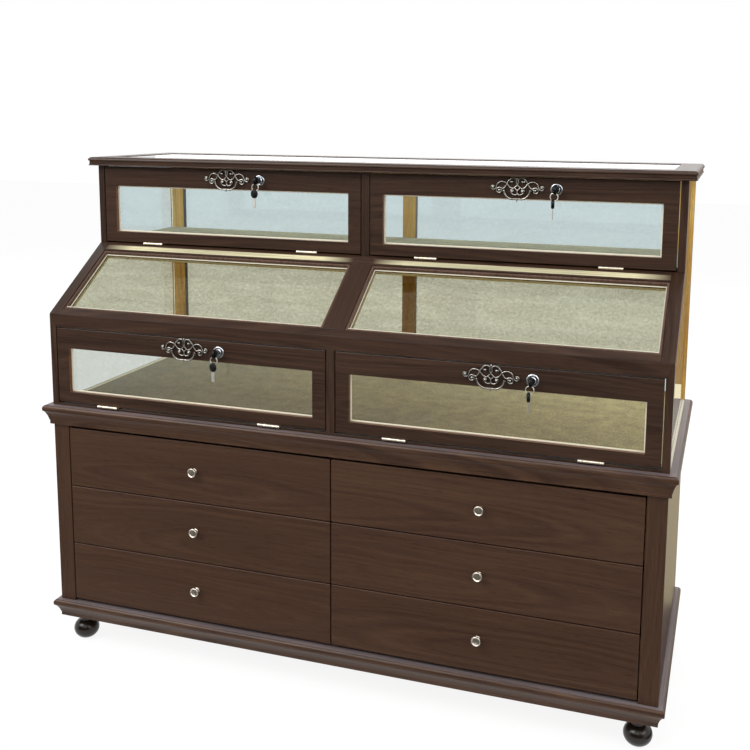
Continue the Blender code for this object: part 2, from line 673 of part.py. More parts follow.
def handle_plate_mesh():
    """A flat scroll plate about its middle, its back on the door, with two lugs for the bail."""
    half = HANDLE_SCROLLS[-1][0] + HANDLE_SCROLLS[-1][1]
    edges = []
    for boss in (HANDLE_CROWN, HANDLE_FOOT):
        scrolls = [(0.0, boss)]
        for offset, radius in HANDLE_SCROLLS:
            scrolls += [(-offset, radius), (offset, radius)]
        edge = []
        for station in range(HANDLE_STATIONS + 1):
            x = half * (2 * station / HANDLE_STATIONS - 1)
            heights = [math.sqrt(max(radius ** 2 - (x - centre) ** 2, 0)) for centre, radius in scrolls]
            edge.append((x, max(HANDLE_BAR, *heights)))
        edges.append(edge)
    upper, lower = edges
    outline = upper + [(x, -z) for x, z in reversed(lower)]
    plate = along_y(outline, -SEAT - HANDLE_PLATE, -SEAT)
    reach = SEAT + HANDLE_PLATE + BAIL_GAP + 2 * BAIL_RADIUS
    lugs = []
    for _, sign in SIDES:
        low, high = sorted((sign * LUG_OFFSET, sign * (LUG_OFFSET + LUG_WIDTH)))
        lugs.append(boxed((low, -reach, -PIVOT_DROP - LUG_HEIGHT / 2),
                          (high, -SEAT - HANDLE_PLATE + FUSE_DEPTH, -PIVOT_DROP + LUG_HEIGHT / 2)))
    return fused(plate, lugs)


def bail_mesh():
    """A hanging bail about the middle of its pivot line: stubs, curved arms and a straight grip."""
    span = LUG_OFFSET - SEAT
    arm = span - BAIL_STUB
    half = [(span, 0.0), (arm, 0.0)]
    for step in range(1, CURVE_STEPS + 1):
        turn = math.pi / 2 * step / CURVE_STEPS
        half.append((BAIL_GRIP + (arm - BAIL_GRIP) * math.cos(turn), -BAIL_DROP * math.sin(turn)))
    path = [Vector((x, 0, z)) for x, z in half] + [Vector((-x, 0, z)) for x, z in reversed(half)]
    loops = []
    for index, point in enumerate(path):
        before = (point - path[max(index - 1, 0)]).normalized()
        after = (path[min(index + 1, len(path) - 1)] - point).normalized()
        tangent = (before + after).normalized()
        across = Vector((0, 1, 0)).cross(tangent)
        spread = 1 / max(tangent.dot(before), tangent.dot(after))
        ring = [point + across * x * spread + Vector((0, y, 0)) for x, y in circle(BAIL_RADIUS, BAIL_STEPS)]
        loops.append(ring)
    return lofted(loops, smooth=True)


def lock_mesh():
    """A lock's turning core about its axis, at the door's face: plug, cam and the key in it."""
    cam_front = FRAME_DEPTH + CAM_GAP
    cam_back = cam_front + CAM_THICKNESS
    plug = along_y(circle(PLUG_RADIUS), -PLUG_PROUD, cam_front + FUSE_DEPTH)
    cam = boxed((-CAM_WIDTH / 2, cam_front, -CAM_WIDTH / 2), (CAM_LENGTH, cam_back, CAM_WIDTH / 2))
    bow_middle = -PLUG_PROUD - KEY_SHANK - KEY_BOW_DEPTH / 2
    shank = boxed((-KEY_SHANK_WIDTH / 2, bow_middle, -KEY_SHANK_HEIGHT / 2),
                  (KEY_SHANK_WIDTH / 2, -PLUG_PROUD + FUSE_DEPTH, KEY_SHANK_HEIGHT / 2))
    outline = [(bow_middle + y * KEY_BOW_DEPTH / 2, z * KEY_BOW_HEIGHT / 2) for y, z in circle(1.0, BOW_STEPS)]
    bow = along_x(outline, -KEY_BOW_WIDTH / 2, KEY_BOW_WIDTH / 2)
    return fused(plug, [cam, shank, bow])


def hinge_mesh():
    """A closed butt hinge about its pin: the barrel and the two leaves shut together behind it."""
    leaf = HINGE_LIFT - SEAT
    start = math.asin(leaf / HINGE_RADIUS)
    outline = [(HINGE_REACH + HINGE_LEAF, -leaf), (HINGE_REACH + HINGE_LEAF, leaf)]
    sweep = 2 * math.pi - 2 * start
    for step in range(ROUND_STEPS + 1):
        turn = start + sweep * step / ROUND_STEPS
        outline.append((HINGE_RADIUS * math.cos(turn), HINGE_RADIUS * math.sin(turn)))
    return along_x(outline, -HINGE_LENGTH / 2, HINGE_LENGTH / 2)


def build_doors(looks):
    """Four drop-down doors with their glass, handles, locks and hinges."""
    plate = handle_plate_mesh()
    bail = bail_mesh()
    lock = lock_mesh()
    hinge = hinge_mesh()
    bail_reach = SEAT + HANDLE_PLATE + BAIL_GAP + BAIL_RADIUS
    for tier in TIERS:
        frame, glass = door_meshes(tier)
        door_top = HINGE_LIFT + tier.door_height
        for side, sign in SIDES:
            tag = f"{tier.name}_{side}"
            line = (sign * DOOR_CENTRE, tier.front - HINGE_REACH, tier.sill + HINGE_LIFT)
            swing = pivot(f"hinge_line_{tag}", line)
            piece(f"door_{tag}", frame, looks["wood"], parent=swing)
            piece(f"door_glass_{tag}", glass, looks["glass"], parent=swing)
            seat = Vector((0, HINGE_REACH, door_top - HANDLE_DROP))
            piece(f"handle_plate_{tag}", plate, looks["pewter"], seat, swing)
            hang = seat + Vector((0, -bail_reach, -PIVOT_DROP))
            piece(f"handle_bail_{tag}", bail, looks["pewter"], hang, swing)
            core = (LOCK_OFFSET, HINGE_REACH, door_top - LOCK_DROP)
            piece(f"lock_plug_{tag}", lock, looks["chrome"], core, swing)
            reach = DOOR_WIDTH / 2 - HINGE_INSET
            for end, offset in (("inner", -sign * reach), ("outer", sign * reach)):
                piece(f"hinge_{tag}_{end}", hinge, looks["brass"], (line[0] + offset, line[1], line[2]))


def main():
    """Builds the whole cabinet."""
    clear_scene()
    looks = finishes()
    build_feet(looks)
    build_chest(looks)
    build_drawers(looks)
    build_lower_front_frame(looks)
    build_upper_front_frame(looks)
    build_back_frame(looks)
    build_cap(looks)
    build_showcase_boards(looks)
    build_fixed_glass(looks)
    build_doors(looks)


main()
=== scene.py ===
"""Looks of a jewelry display cabinet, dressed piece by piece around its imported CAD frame.

The chest of drawers, the stepped glass showcase that stands on it and all their fittings are rebuilt as
separate boards, mouldings, turnings and castings. Every place comes from the frame's own boxes and the sizes
named here.
"""
import logging
import math
from collections.abc import Callable, Mapping, Sequence
from dataclasses import dataclass, field
from enum import Enum
from functools import partial

import bmesh
import bpy
from bpy.types import Material, Node, NodeSocket, NodeTree, Object
from mathutils import Matrix, Vector


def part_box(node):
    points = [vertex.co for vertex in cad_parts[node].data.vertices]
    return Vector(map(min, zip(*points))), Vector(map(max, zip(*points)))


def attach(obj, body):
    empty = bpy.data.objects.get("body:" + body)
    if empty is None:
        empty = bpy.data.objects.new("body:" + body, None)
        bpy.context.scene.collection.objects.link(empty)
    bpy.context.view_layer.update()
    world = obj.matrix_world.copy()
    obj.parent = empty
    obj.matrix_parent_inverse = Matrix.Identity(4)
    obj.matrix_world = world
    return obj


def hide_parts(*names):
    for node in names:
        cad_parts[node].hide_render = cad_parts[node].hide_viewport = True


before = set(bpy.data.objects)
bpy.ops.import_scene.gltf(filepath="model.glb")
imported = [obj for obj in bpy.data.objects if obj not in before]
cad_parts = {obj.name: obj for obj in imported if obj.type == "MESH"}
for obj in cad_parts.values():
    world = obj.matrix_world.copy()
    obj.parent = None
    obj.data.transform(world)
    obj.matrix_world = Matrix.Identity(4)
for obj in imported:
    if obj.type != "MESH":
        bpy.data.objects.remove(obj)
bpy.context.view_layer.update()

MM = 0.001
CABINET = "cabinet"                 # body of all that doesn't move
SEAT = 0.3 * MM                     # between pieces that touch
QUARTER_TURN = math.pi / 2
SMOOTH_ANGLE = math.radians(40)
MIX_A = 6                           # colour sockets of Blender's Mix node
MIX_B = 7
MIX_RESULT = 2
LOG = logging.getLogger("cabinet")

Point = tuple[float, float, float]
Pair = tuple[float, float]
Section = list[Pair]
Wire = Callable[..., NodeSocket]


class Side(Enum):
    """Left or right half of the cabinet, as seen from the front."""

    LEFT = -1
    RIGHT = 1

    @property
    def word(self) -> str:
        """The side's name in the frame's nodes."""
        return self.name.lower()

    def span(self, first: float, second: float) -> list[float]:
        """Returns two distances from the middle as x values on this side, the lower one first."""
        return sorted((self.value * first, self.value * second))


class Tier(Enum):
    """The two rows of glazed doors."""

    LOWER = "lower"
    UPPER = "upper"


class Row(Enum):
    """The three rows of drawers."""

    TOP = "top"
    MIDDLE = "middle"
    BOTTOM = "bottom"


@dataclass(frozen=True)
class Layout:
    """Main faces of the cabinet, read from the frame.

    Args:
        half_width: Half the body's width.
        front: Face of the chest and the lower doors.
        back: Back of the cabinet.
        upper_front: Face of the upper doors.
        depth: Depth of the front frames and doors.
        floor: Underside of the showcase.
        slope_foot: Lower edge of the sloping face.
        ledge: Upper edge of the sloping face.
        post_top: Top of the upper posts.
    """

    half_width: float
    front: float
    back: float
    upper_front: float
    depth: float
    floor: float
    slope_foot: float
    ledge: float
    post_top: float

    @classmethod
    def read(cls) -> "Layout":
        """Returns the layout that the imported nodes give."""
        carcass_low, carcass_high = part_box("chest_carcass")
        lower_low, lower_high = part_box("lower_front_frame")
        _, upper_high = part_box("upper_front_frame")
        _, shelf_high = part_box("upper_shelf")
        shelf_rise = 5 * MM
        depth = lower_high.y - lower_low.y
        return cls(carcass_high.x, carcass_low.y, carcass_high.y, upper_high.y - depth, depth, lower_low.z,
                   lower_high.z, shelf_high.z - shelf_rise, upper_high.z)

    @property
    def slope_angle(self) -> float:
        """Rise of the sloping face above the level."""
        return math.atan2(self.ledge - self.slope_foot, self.upper_front - self.front)

    @property
    def slope_length(self) -> float:
        """Length of the sloping face from foot to ledge."""
        return math.hypot(self.ledge - self.slope_foot, self.upper_front - self.front)

    def on_slope(self, up: float, deep: float) -> Pair:
        """Returns y and z of the point a distance up the slope and a depth below its face."""
        rise = math.sin(self.slope_angle)
        run = math.cos(self.slope_angle)
        return self.front + up * run + deep * rise, self.slope_foot + up * rise - deep * run


LAYOUT = Layout.read()


class Grain(Enum):
    """Which way a board's fibres run, and which way lies across them on its show face."""

    ACROSS = ((1, 0, 0), (0, 0, 1))
    FLAT = ((1, 0, 0), (0, 1, 0))
    UPRIGHT = ((0, 0, 1), (1, 0, 0))
    UPRIGHT_SIDE = ((0, 0, 1), (0, 1, 0))
    DEEP = ((0, 1, 0), (1, 0, 0))
    DEEP_SIDE = ((0, 1, 0), (0, 0, 1))
    SLOPE = ((0, math.cos(LAYOUT.slope_angle), math.sin(LAYOUT.slope_angle)), (1, 0, 0))

    def axes(self) -> Matrix:
        """Returns the turn from a board's own axes to the part's frame."""
        along, across = (Vector(axis) for axis in self.value)
        return Matrix((along, across, along.cross(across))).transposed().to_4x4()


def linear(hex_colour: str) -> tuple[float, float, float, float]:
    """Turns an sRGB hex colour into Blender's linear one.

    Args:
        hex_colour: Colour as "#rrggbb".

    Returns:
        Red, green, blue and an alpha of 1.
    """
    shares = [int(hex_colour[start:start + 2], 16) / 255 for start in (1, 3, 5)]
    red, green, blue = (s / 12.92 if s <= 0.04045 else ((s + 0.055) / 1.055) ** 2.4 for s in shares)
    return red, green, blue, 1.0


def per_metre(size_mm: float) -> float:
    """Returns how many features of a size in millimetres fit in a metre."""
    return 1000.0 / size_mm


def feed(node: Node, values: dict) -> None:
    """Sets a node's inputs.

    Args:
        node: Shader node.
        values: For each input, a constant or the output socket that feeds it.
    """
    for key, value in values.items():
        if isinstance(value, NodeSocket):
            node.id_data.links.new(value, node.inputs[key])
        else:
            node.inputs[key].default_value = value


def add_node(tree: NodeTree, kind: str, values: dict | None = None, output: int | str = 0,
             **settings) -> NodeSocket:
    """Adds one shader node with its settings and links.

    Args:
        tree: Node tree that gets the node.
        kind: Blender's name of the node type, without its first word ShaderNode.
        values: For each input, a constant or the output socket that feeds it.
        output: The wanted output of the node.
        **settings: Properties of the node itself.

    Returns:
        The wanted output socket.
    """
    node = tree.nodes.new(f"ShaderNode{kind}")
    for name, setting in settings.items():
        setattr(node, name, setting)
    feed(node, values or {})
    return node.outputs[output]


@dataclass(frozen=True)
class Finish:
    """A surface finish: its material's name, and the record's slot that it stands for, which is not used."""

    name: str
    slot: str

    def material(self) -> Material:
        """Returns the finish's material, made at its first use."""
        found = bpy.data.materials.get(self.name)
        if found:
            return found
        material = bpy.data.materials.new(self.name)
        material.use_nodes = True
        tree = material.node_tree
        self.shade(partial(add_node, tree), tree.nodes["Principled BSDF"])
        return material

    def shade(self, add: Wire, shader: Node) -> None:
        """Wires the shader; each finish has its own way.

        Args:
            add: Adds a node to the material and returns its output.
            shader: The material's shader.
        """
        raise NotImplementedError


@dataclass(frozen=True)
class BoardWood(Finish):
    """A sawn board: growth rings cut by its face, stain, fibre streaks, open pores and a lacquer film.

    The rings are cones round the tree's heart, so a board shows straight lines at its edges and arches in the
    middle. Each board comes from another place in the log. Pores are drawn at more than their real width so
    that they show.

    Args:
        dark: Colour of late wood and heavy stain.
        light: Colour of early wood.
        pore: Colour in the pores.
        ring_mm: Width of a growth ring.
        fibre_mm: Width of a fibre streak.
        pore_mm: Width of a pore.
        roughness: Roughness of the lacquer film.
        shine: Strength of its reflection.
        relief: Strength of the fibres' relief.
        spread: How far boards differ in brightness.
        crown: Colour painted on faces that look up; empty for none. On the mouldings it is dust and painted
            sheen,
        on the slope's top rail painted light.
        crown_from: Upward share of the face's normal where that begins and where it is full.
        crown_cover: How thickly it covers.
        crown_reach: From each door's middle, where the painted light starts to thin out and where it ends.
    """

    dark: str
    light: str
    pore: str
    ring_mm: float = 7.0
    fibre_mm: float = 2.4
    pore_mm: float = 1.1
    roughness: float = 0.36
    shine: float = 0.35
    relief: float = 0.12
    spread: float = 0.07
    crown: str = ""
    crown_from: Pair = (0.88, 0.99)
    crown_cover: float = 0.6
    crown_reach: Pair | None = None

    def shade(self, add: Wire, shader: Node) -> None:
        """Wires rings, stain, fibres, pores and lacquer.

        Args:
            add: Adds a node to the material and returns its output.
            shader: The material's shader.
        """
        place = add("TexCoord", output="Object")
        lot = add("ObjectInfo", output="Random")
        parts = add("SeparateXYZ", {0: place}).node.outputs
        moved = add("VectorMath", {0: lot, 1: (9.0, 4.0, 6.0), 2: place}, operation="MULTIPLY_ADD")
        patterns = []
        fibres = per_metre(self.fibre_mm)
        pores = per_metre(self.pore_mm)
        for along, across, detail in ((2.5, 14.0, 2.0), (7.0, fibres, 2.0), (40.0, pores, 1.0)):
            drawn = add("VectorMath", {0: moved, 1: (along, across, across)}, operation="MULTIPLY")
            patterns.append(add("TexNoise", {"Vector": drawn, "Scale": 1.0, "Detail": detail}))
        drift, fibre, speck = patterns
        rings = self.rings(add, lot, drift, parts)
        pitted = add("MapRange", {"Value": speck, "From Min": 0.60, "From Max": 0.72, "To Max": 0.55})
        grain = add("Math", {0: rings, 1: 0.40}, operation="MULTIPLY")
        for pattern, share in ((drift, 0.28), (fibre, 0.32)):
            grain = add("Math", {0: pattern, 1: share, 2: grain}, operation="MULTIPLY_ADD")
        tone = add("MapRange", {"Value": grain, "From Min": 0.35, "From Max": 0.65})
        body = add("Mix", {0: tone, MIX_A: linear(self.dark), MIX_B: linear(self.light)}, MIX_RESULT,
                   data_type="RGBA")
        streaked = add("Mix", {0: pitted, MIX_A: body, MIX_B: linear(self.pore)}, MIX_RESULT,
                       data_type="RGBA")
        batch = add("MapRange", {"Value": lot, "To Min": 1 - self.spread, "To Max": 1 + self.spread})
        colour = add("HueSaturation", {"Color": streaked, "Value": batch})
        # Faces that look up take the crown colour: dust and painted sheen on the mouldings, painted light on
        # the slope's top rail.
        if self.crown:
            cover = self.cover(add, fibre, drift, parts["X"])
            colour = add("Mix", {0: cover, MIX_A: colour, MIX_B: linear(self.crown)}, MIX_RESULT,
                         data_type="RGBA")
        film = add("MapRange", {"Value": fibre, "To Min": self.roughness - 0.06,
                                "To Max": self.roughness + 0.08})
        height = add("Math", {0: pitted, 1: -0.6, 2: fibre}, operation="MULTIPLY_ADD")
        bump = add("Bump", {"Strength": self.relief, "Distance": 0.4 * MM, "Height": height})
        feed(shader, {"Base Color": colour, "Roughness": film, "Normal": bump,
                      "Specular IOR Level": self.shine})

    def rings(self, add: Wire, lot: NodeSocket, drift: NodeSocket,
              parts: Mapping[str, NodeSocket]) -> NodeSocket:
        """Wires the growth rings.

        Args:
            add: Adds a node to the material and returns its output.
            lot: The board's own random number.
            drift: Slow wander along the log.
            parts: The place's X, Y and Z.

        Returns:
            The rings' brightness.
        """
        wander = 0.045
        reach_along = 0.9
        taper = 0.085
        heart_depth = -0.03
        turns = 37.0
        across = add("Math", {0: drift, 1: wander, 2: parts["Y"]}, operation="MULTIPLY_ADD")
        along = add("Math", {0: lot, 1: reach_along, 2: parts["X"]}, operation="MULTIPLY_ADD")
        depth = add("Math", {0: along, 1: taper, 2: heart_depth}, operation="MULTIPLY_ADD")
        cone = add("CombineXYZ", {0: across, 1: depth})
        radius = add("VectorMath", {0: cone}, "Value", operation="LENGTH")
        start = add("Math", {0: lot, 1: turns}, operation="MULTIPLY")
        year = add("Math", {0: radius, 1: per_metre(self.ring_mm), 2: start}, operation="MULTIPLY_ADD")
        return add("TexNoise", {"W": year, "Scale": 1.0, "Detail": 3.0, "Roughness": 0.55},
                   noise_dimensions="1D")

    def cover(self, add: Wire, fibre: NodeSocket, drift: NodeSocket, along: NodeSocket) -> NodeSocket:
        """Wires the crown colour on faces that look up (dust and painted sheen on mouldings, painted light on
        the rail), streaky along the fibres and patchy along the board.

        Args:
            add: Adds a node to the material and returns its output.
            fibre: Fibre streaks.
            drift: Slow wander along the log.
            along: Place along the board.

        Returns:
            How much of the surface is covered.
        """
        facing = add("NewGeometry", output="Normal")
        level = add("SeparateXYZ", {0: facing}, "Z")
        begin, full = self.crown_from
        cover = add("MapRange", {"Value": level, "From Min": begin, "From Max": full})
        factors = [add("MapRange", {"Value": fibre, "From Min": 0.3, "From Max": 0.6,
                                    "To Min": 0.7 * self.crown_cover, "To Max": self.crown_cover}),
                   add("MapRange", {"Value": drift, "From Min": 0.4, "From Max": 0.55, "To Min": 0.74})]
        # The painted light on the top rail thins out away from the middle of each door.
        if self.crown_reach:
            fading, end = self.crown_reach
            side = add("Math", {0: along}, operation="ABSOLUTE")
            off_door = add("Math", {0: side, 1: LAYOUT.half_width / 2}, operation="SUBTRACT")
            away = add("Math", {0: off_door}, operation="ABSOLUTE")
            factors.append(add("MapRange", {"Value": away, "From Min": fading, "From Max": end, "To Min": 1.0,
                                            "To Max": 0.0}))
        for factor in factors:
            cover = add("Math", {0: cover, 1: factor}, operation="MULTIPLY")
        return cover


@dataclass(frozen=True)
class TurnedLacquer(Finish):
    """Turned hardwood under dark gloss lacquer: a sharp highlight over faint lathe rings."""

    dark: str
    light: str
    lathe_mm: float = 1.6
    clouds: float = 55.0
    roughness: float = 0.2

    def shade(self, add: Wire, shader: Node) -> None:
        """Wires cloudy colour, faint lathe rings and gloss.

        Args:
            add: Adds a node to the material and returns its output.
            shader: The material's shader.
        """
        place = add("TexCoord", output="Object")
        cloud = add("TexNoise", {"Vector": place, "Scale": self.clouds, "Detail": 3.0})
        colour = add("Mix", {0: cloud, MIX_A: linear(self.dark), MIX_B: linear(self.light)}, MIX_RESULT,
                     data_type="RGBA")
        height = add("SeparateXYZ", {0: place}, "Z")
        turn = add("Math", {0: height, 1: per_metre(self.lathe_mm)}, operation="MULTIPLY")
        rings = add("TexNoise", {"W": turn, "Scale": 1.0, "Detail": 1.0}, noise_dimensions="1D")
        bump = add("Bump", {"Strength": 0.06, "Distance": 0.3 * MM, "Height": rings})
        film = add("MapRange", {"Value": cloud, "To Min": self.roughness - 0.05,
                                "To Max": self.roughness + 0.1})
        feed(shader, {"Base Color": colour, "Roughness": film, "Normal": bump, "Specular IOR Level": 0.4})


@dataclass(frozen=True)
class NappedLining(Finish):
    """Glued display cloth with a short brushed nap: soft patches where the pile lies over, no gloss.

    The nap is drawn coarser than it is so that it shows.
    """

    dark: str
    light: str
    nap_mm: float = 4.0
    patch_mm: float = 34.0
    fade: float = 0.0

    def shade(self, add: Wire, shader: Node) -> None:
        """Wires brushed patches, pile, sheen and painted light that brightens the cloth toward its right end.

        Args:
            add: Adds a node to the material and returns its output.
            shader: The material's shader.
        """
        place = add("TexCoord", output="Object")
        patch = add("TexNoise", {"Vector": place, "Scale": per_metre(self.patch_mm), "Detail": 6.0,
                                 "Roughness": 0.65})
        pile = add("TexNoise", {"Vector": place, "Scale": per_metre(self.nap_mm), "Detail": 2.0})
        both = add("Math", {0: patch, 1: 0.5}, operation="MULTIPLY")
        mixed = add("Math", {0: pile, 1: 0.5, 2: both}, operation="MULTIPLY_ADD")
        tone = add("MapRange", {"Value": mixed, "From Min": 0.35, "From Max": 0.65})
        cloth = add("Mix", {0: tone, MIX_A: linear(self.dark), MIX_B: linear(self.light)}, MIX_RESULT,
                    data_type="RGBA")
        # Painted light: the cloth brightens from its left end to its right.
        along = add("SeparateXYZ", {0: place}, "X")
        painted_light_gain = add("MapRange", {"Value": along, "From Min": -LAYOUT.half_width,
                                 "From Max": LAYOUT.half_width, "To Min": 1 - self.fade,
                                 "To Max": 1 + self.fade})
        colour = add("HueSaturation", {"Color": cloth, "Value": painted_light_gain})
        bump = add("Bump", {"Strength": 0.35, "Distance": 0.5 * MM, "Height": pile})
        feed(shader, {"Base Color": colour, "Roughness": 0.92, "Normal": bump, "Sheen Weight": 0.35,
                      "Sheen Roughness": 0.5, "Specular IOR Level": 0.15})


@dataclass(frozen=True)
class FloatGlass(Finish):
    """Polished float glass: a clear body under wiped streaks and specks of dust. Lamps shine through it.

    The specks are drawn larger than real dust so that they show.
    """

    tint: str
    dust: str
    smear_mm: float = 30.0
    wipe: float = 4.0
    speck_mm: float = 6.0

    def shade(self, add: Wire, shader: Node) -> None:
        """Wires clear glass, streaks of dust wiped along X and a path for lamp light.

        Args:
            add: Adds a node to the material and returns its output.
            shader: The material's shader.
        """
        place = add("TexCoord", output="Object")
        drawn = add("VectorMath", {0: place, 1: (1.0, self.wipe, self.wipe)}, operation="MULTIPLY")
        smear = add("TexNoise", {"Vector": drawn, "Scale": per_metre(self.smear_mm) / self.wipe,
                                 "Detail": 5.0, "Roughness": 0.62, "Distortion": 0.6})
        speck = add("TexNoise", {"Vector": place, "Scale": per_metre(self.speck_mm), "Detail": 3.0,
                                 "Roughness": 0.7})
        dirt = add("Math", {0: smear, 1: 0.6, 2: speck}, operation="MULTIPLY_ADD")
        film = add("MapRange", {"Value": dirt, "From Min": 0.6, "From Max": 1.0})
        body = add("Mix", {0: film, MIX_A: linear(self.tint), MIX_B: linear(self.dust)}, MIX_RESULT,
                   data_type="RGBA")
        feed(shader, {"Base Color": body, "Roughness": 0.0, "IOR": 1.5, "Transmission Weight": 1.0})
        lamps = add("LightPath", output="Is Shadow Ray")
        clear = add("BsdfTransparent", {"Color": linear(self.tint)})
        pane = add("MixShader", {0: lamps, 1: shader.outputs[0], 2: clear})
        feed(shader.id_data.nodes["Material Output"], {"Surface": pane})


@dataclass(frozen=True)
class CastMetal(Finish):
    """A cast or plated metal: bright where it is polished, dull in the hollows of a fine cast skin."""

    bright: str
    dull: str
    roughness: float
    grit_mm: float = 1.2
    relief: float = 0.1
    patina: str = ""

    def shade(self, add: Wire, shader: Node) -> None:
        """Wires polished and dull patches, fine relief, and blackening plus painted shade off the forward
        faces.

        Args:
            add: Adds a node to the material and returns its output.
            shader: The material's shader.
        """
        place = add("TexCoord", output="Object")
        skin = add("TexNoise", {"Vector": place, "Scale": per_metre(self.grit_mm), "Detail": 3.0})
        wear = add("MapRange", {"Value": skin, "From Min": 0.35, "From Max": 0.65})
        colour = add("Mix", {0: wear, MIX_A: linear(self.dull), MIX_B: linear(self.bright)}, MIX_RESULT,
                     data_type="RGBA")
        # Faces that don't look forward are blackened: antique colour and painted shade together.
        if self.patina:
            facing = add("TexCoord", output="Normal")
            forward = add("SeparateXYZ", {0: facing}, "Z")
            front_facing_share = add("MapRange", {"Value": forward, "From Min": 0.5, "From Max": 0.95})
            colour = add("Mix", {0: front_facing_share, MIX_A: linear(self.patina), MIX_B: colour}, MIX_RESULT,
                         data_type="RGBA")
        film = add("MapRange", {"Value": wear, "To Min": self.roughness + 0.1,
                                "To Max": self.roughness - 0.03})
        bump = add("Bump", {"Strength": self.relief, "Distance": 0.2 * MM, "Height": skin})
        feed(shader, {"Base Color": colour, "Metallic": 1.0, "Roughness": film, "Normal": bump})


@dataclass(frozen=True)
class Moulded(Finish):
    """A moulded or gunned plastic: one colour with a faint mottle and an even, soft gloss."""

    dark: str
    light: str
    roughness: float
    shine: float = 0.5
    mottle_mm: float = 3.0

    def shade(self, add: Wire, shader: Node) -> None:
        """Wires a faint mottle in colour and gloss.

        Args:
            add: Adds a node to the material and returns its output.
            shader: The material's shader.
        """
        place = add("TexCoord", output="Object")
        mottle = add("TexNoise", {"Vector": place, "Scale": per_metre(self.mottle_mm), "Detail": 2.0})
        colour = add("Mix", {0: mottle, MIX_A: linear(self.dark), MIX_B: linear(self.light)}, MIX_RESULT,
                     data_type="RGBA")
        film = add("MapRange", {"Value": mottle, "To Min": self.roughness - 0.08,
                                "To Max": self.roughness + 0.08})
        feed(shader, {"Base Color": colour, "Roughness": film, "Specular IOR Level": self.shine})


# Stained hardwood under satin lacquer: nearly black pores, low contrast, a soft sheen at grazing angles.
WALNUT = BoardWood("stained_hardwood_satin_lacquer", "stained_wood", "#2f1e15", "#4d3526", "#1b0f08")
# The chest took a thinner coat of the same stain, so its boards look lighter and warmer.
CHEST_WALNUT = BoardWood("stained_hardwood_thin_lacquer", "stained_wood", "#422a1d", "#563b29", "#2a190f")
# Mouldings stand out from the body; their level tops are painted a patchy pale grey, partly dust and partly
# painted sheen.
MOULDING_WALNUT = BoardWood("shaped_hardwood_dusty_tops", "stained_wood", "#3a2418", "#5c402d", "#23140b",
                            crown="#a0979c", crown_cover=0.58)
# A pale cream strip on the slope's top rail, thinning out away from each door's middle, is painted light.
PAINTED_LIGHT_WALNUT = BoardWood("hardwood_rubbed_to_bare_wood", "stained_wood", "#2f1e15", "#4d3526", "#1b0f08",
                        crown="#fbf1c4", crown_from=(0.79, 0.82), crown_cover=0.98, crown_reach=(0.215, 0.28))
# Sawn edges that took less stain look orange beside the faces.
REVEAL = BoardWood("sawn_edge_thin_stain", "stained_wood", "#5b3b25", "#83593a", "#3d2414", relief=0.2)
# Planed beads are painted a shade lighter than the frames: painted highlight where they catch the light.
BEAD = BoardWood("planed_bead_thin_stain", "stained_wood", "#4f392d", "#76594a", "#33221a", shine=0.4)
# Clear varnish keeps the softwood golden; its bright golden tone is partly painted light.
GOLDEN = BoardWood("varnished_softwood", "stained_wood", "#c28c3a", "#ebbd68", "#96662c", ring_mm=9.0)
# Bare planed softwood inside the drawers, pale and matt.
BARE = BoardWood("planed_softwood_bare", "stained_wood", "#a98a60", "#c9ad82", "#8a6b45", roughness=0.62,
                 shine=0.2)
# Turned feet under gloss lacquer look almost black, with one sharp highlight.
FOOT_GLOSS = TurnedLacquer("turned_hardwood_gloss_lacquer", "dark_turned_wood", "#130c09", "#281b14")
# Brushed olive cloth shows soft lighter patches where the nap lies over.
LINING = NappedLining("brushed_display_cloth", "olive_lining", "#7c6b3c", "#ad9a64")
# The cloth on the display floor is painted brighter toward its right end and darker toward its left: painted
# light.
PAINTED_LIGHT_LINING = NappedLining("faded_display_cloth", "olive_lining", "#756640", "#b8a670", fade=0.56)
# A thick pane seen against the light looks faintly blue.
GLASS = FloatGlass("polished_float_glass", "clear_glass", "#e6eeef", "#dfe8e8")
# The lower door panes are seen against the warm lining and look neutral.
CLEAR_GLASS = FloatGlass("wiped_float_glass", "clear_glass", "#f0efe8", "#e7e5dc")
# Dust settles on the panes that lie flat, and dims and yellows them.
DUSTY_GLASS = FloatGlass("dusty_float_glass", "clear_glass", "#e0dac2", "#bcb398")
# Antiqued castings are blackened and then polished. Faces that look forward shine; all other faces are
# painted near black, partly antique blackening and partly painted shade.
PEWTER = CastMetal("cast_zinc_antique_pewter", "antique_pewter", "#e6e1d8", "#8c867d", 0.24, patina="#100e0c")
# Polished drawn brass looks nearly white where it mirrors the sky.
BRASS = CastMetal("drawn_brass_polished", "bright_brass", "#fff8ea", "#efe3c8", 0.38, relief=0.03)
# Bright chrome mirrors sharply, with dark and light bands.
CHROME = CastMetal("zinc_bright_chrome", "chrome_lock", "#dfe2e6", "#b4b8bf", 0.1, relief=0.02)
# Satin nickel gives the knobs a warm, blurred highlight.
NICKEL = CastMetal("turned_satin_nickel", "satin_nickel", "#e6ded1", "#b9b0a4", 0.26, relief=0.03)
# Stamped key blanks keep a fine drawn haze, so they look evenly pale.
KEY_STEEL = CastMetal("stamped_nickel_silver", "chrome_lock", "#fbfaf4", "#dedcd2", 0.42, relief=0.03)
# Moulded nylon key heads are black with a dull gloss.
KEY_BLACK = Moulded("moulded_black_nylon", "chrome_lock", "#050506", "#0f0f11", 0.4, shine=0.25)
# Sealant gunned beside the panes is cream and slightly uneven. Its pale lines round the panes are partly
# painted highlight, and the same cream on the slope pockets' shaded walls is painted light.
SEALANT_AND_PAINTED_LIGHT = Moulded("gunned_cream_sealant", "", "#e6dcc0", "#f6f0dc", 0.5)


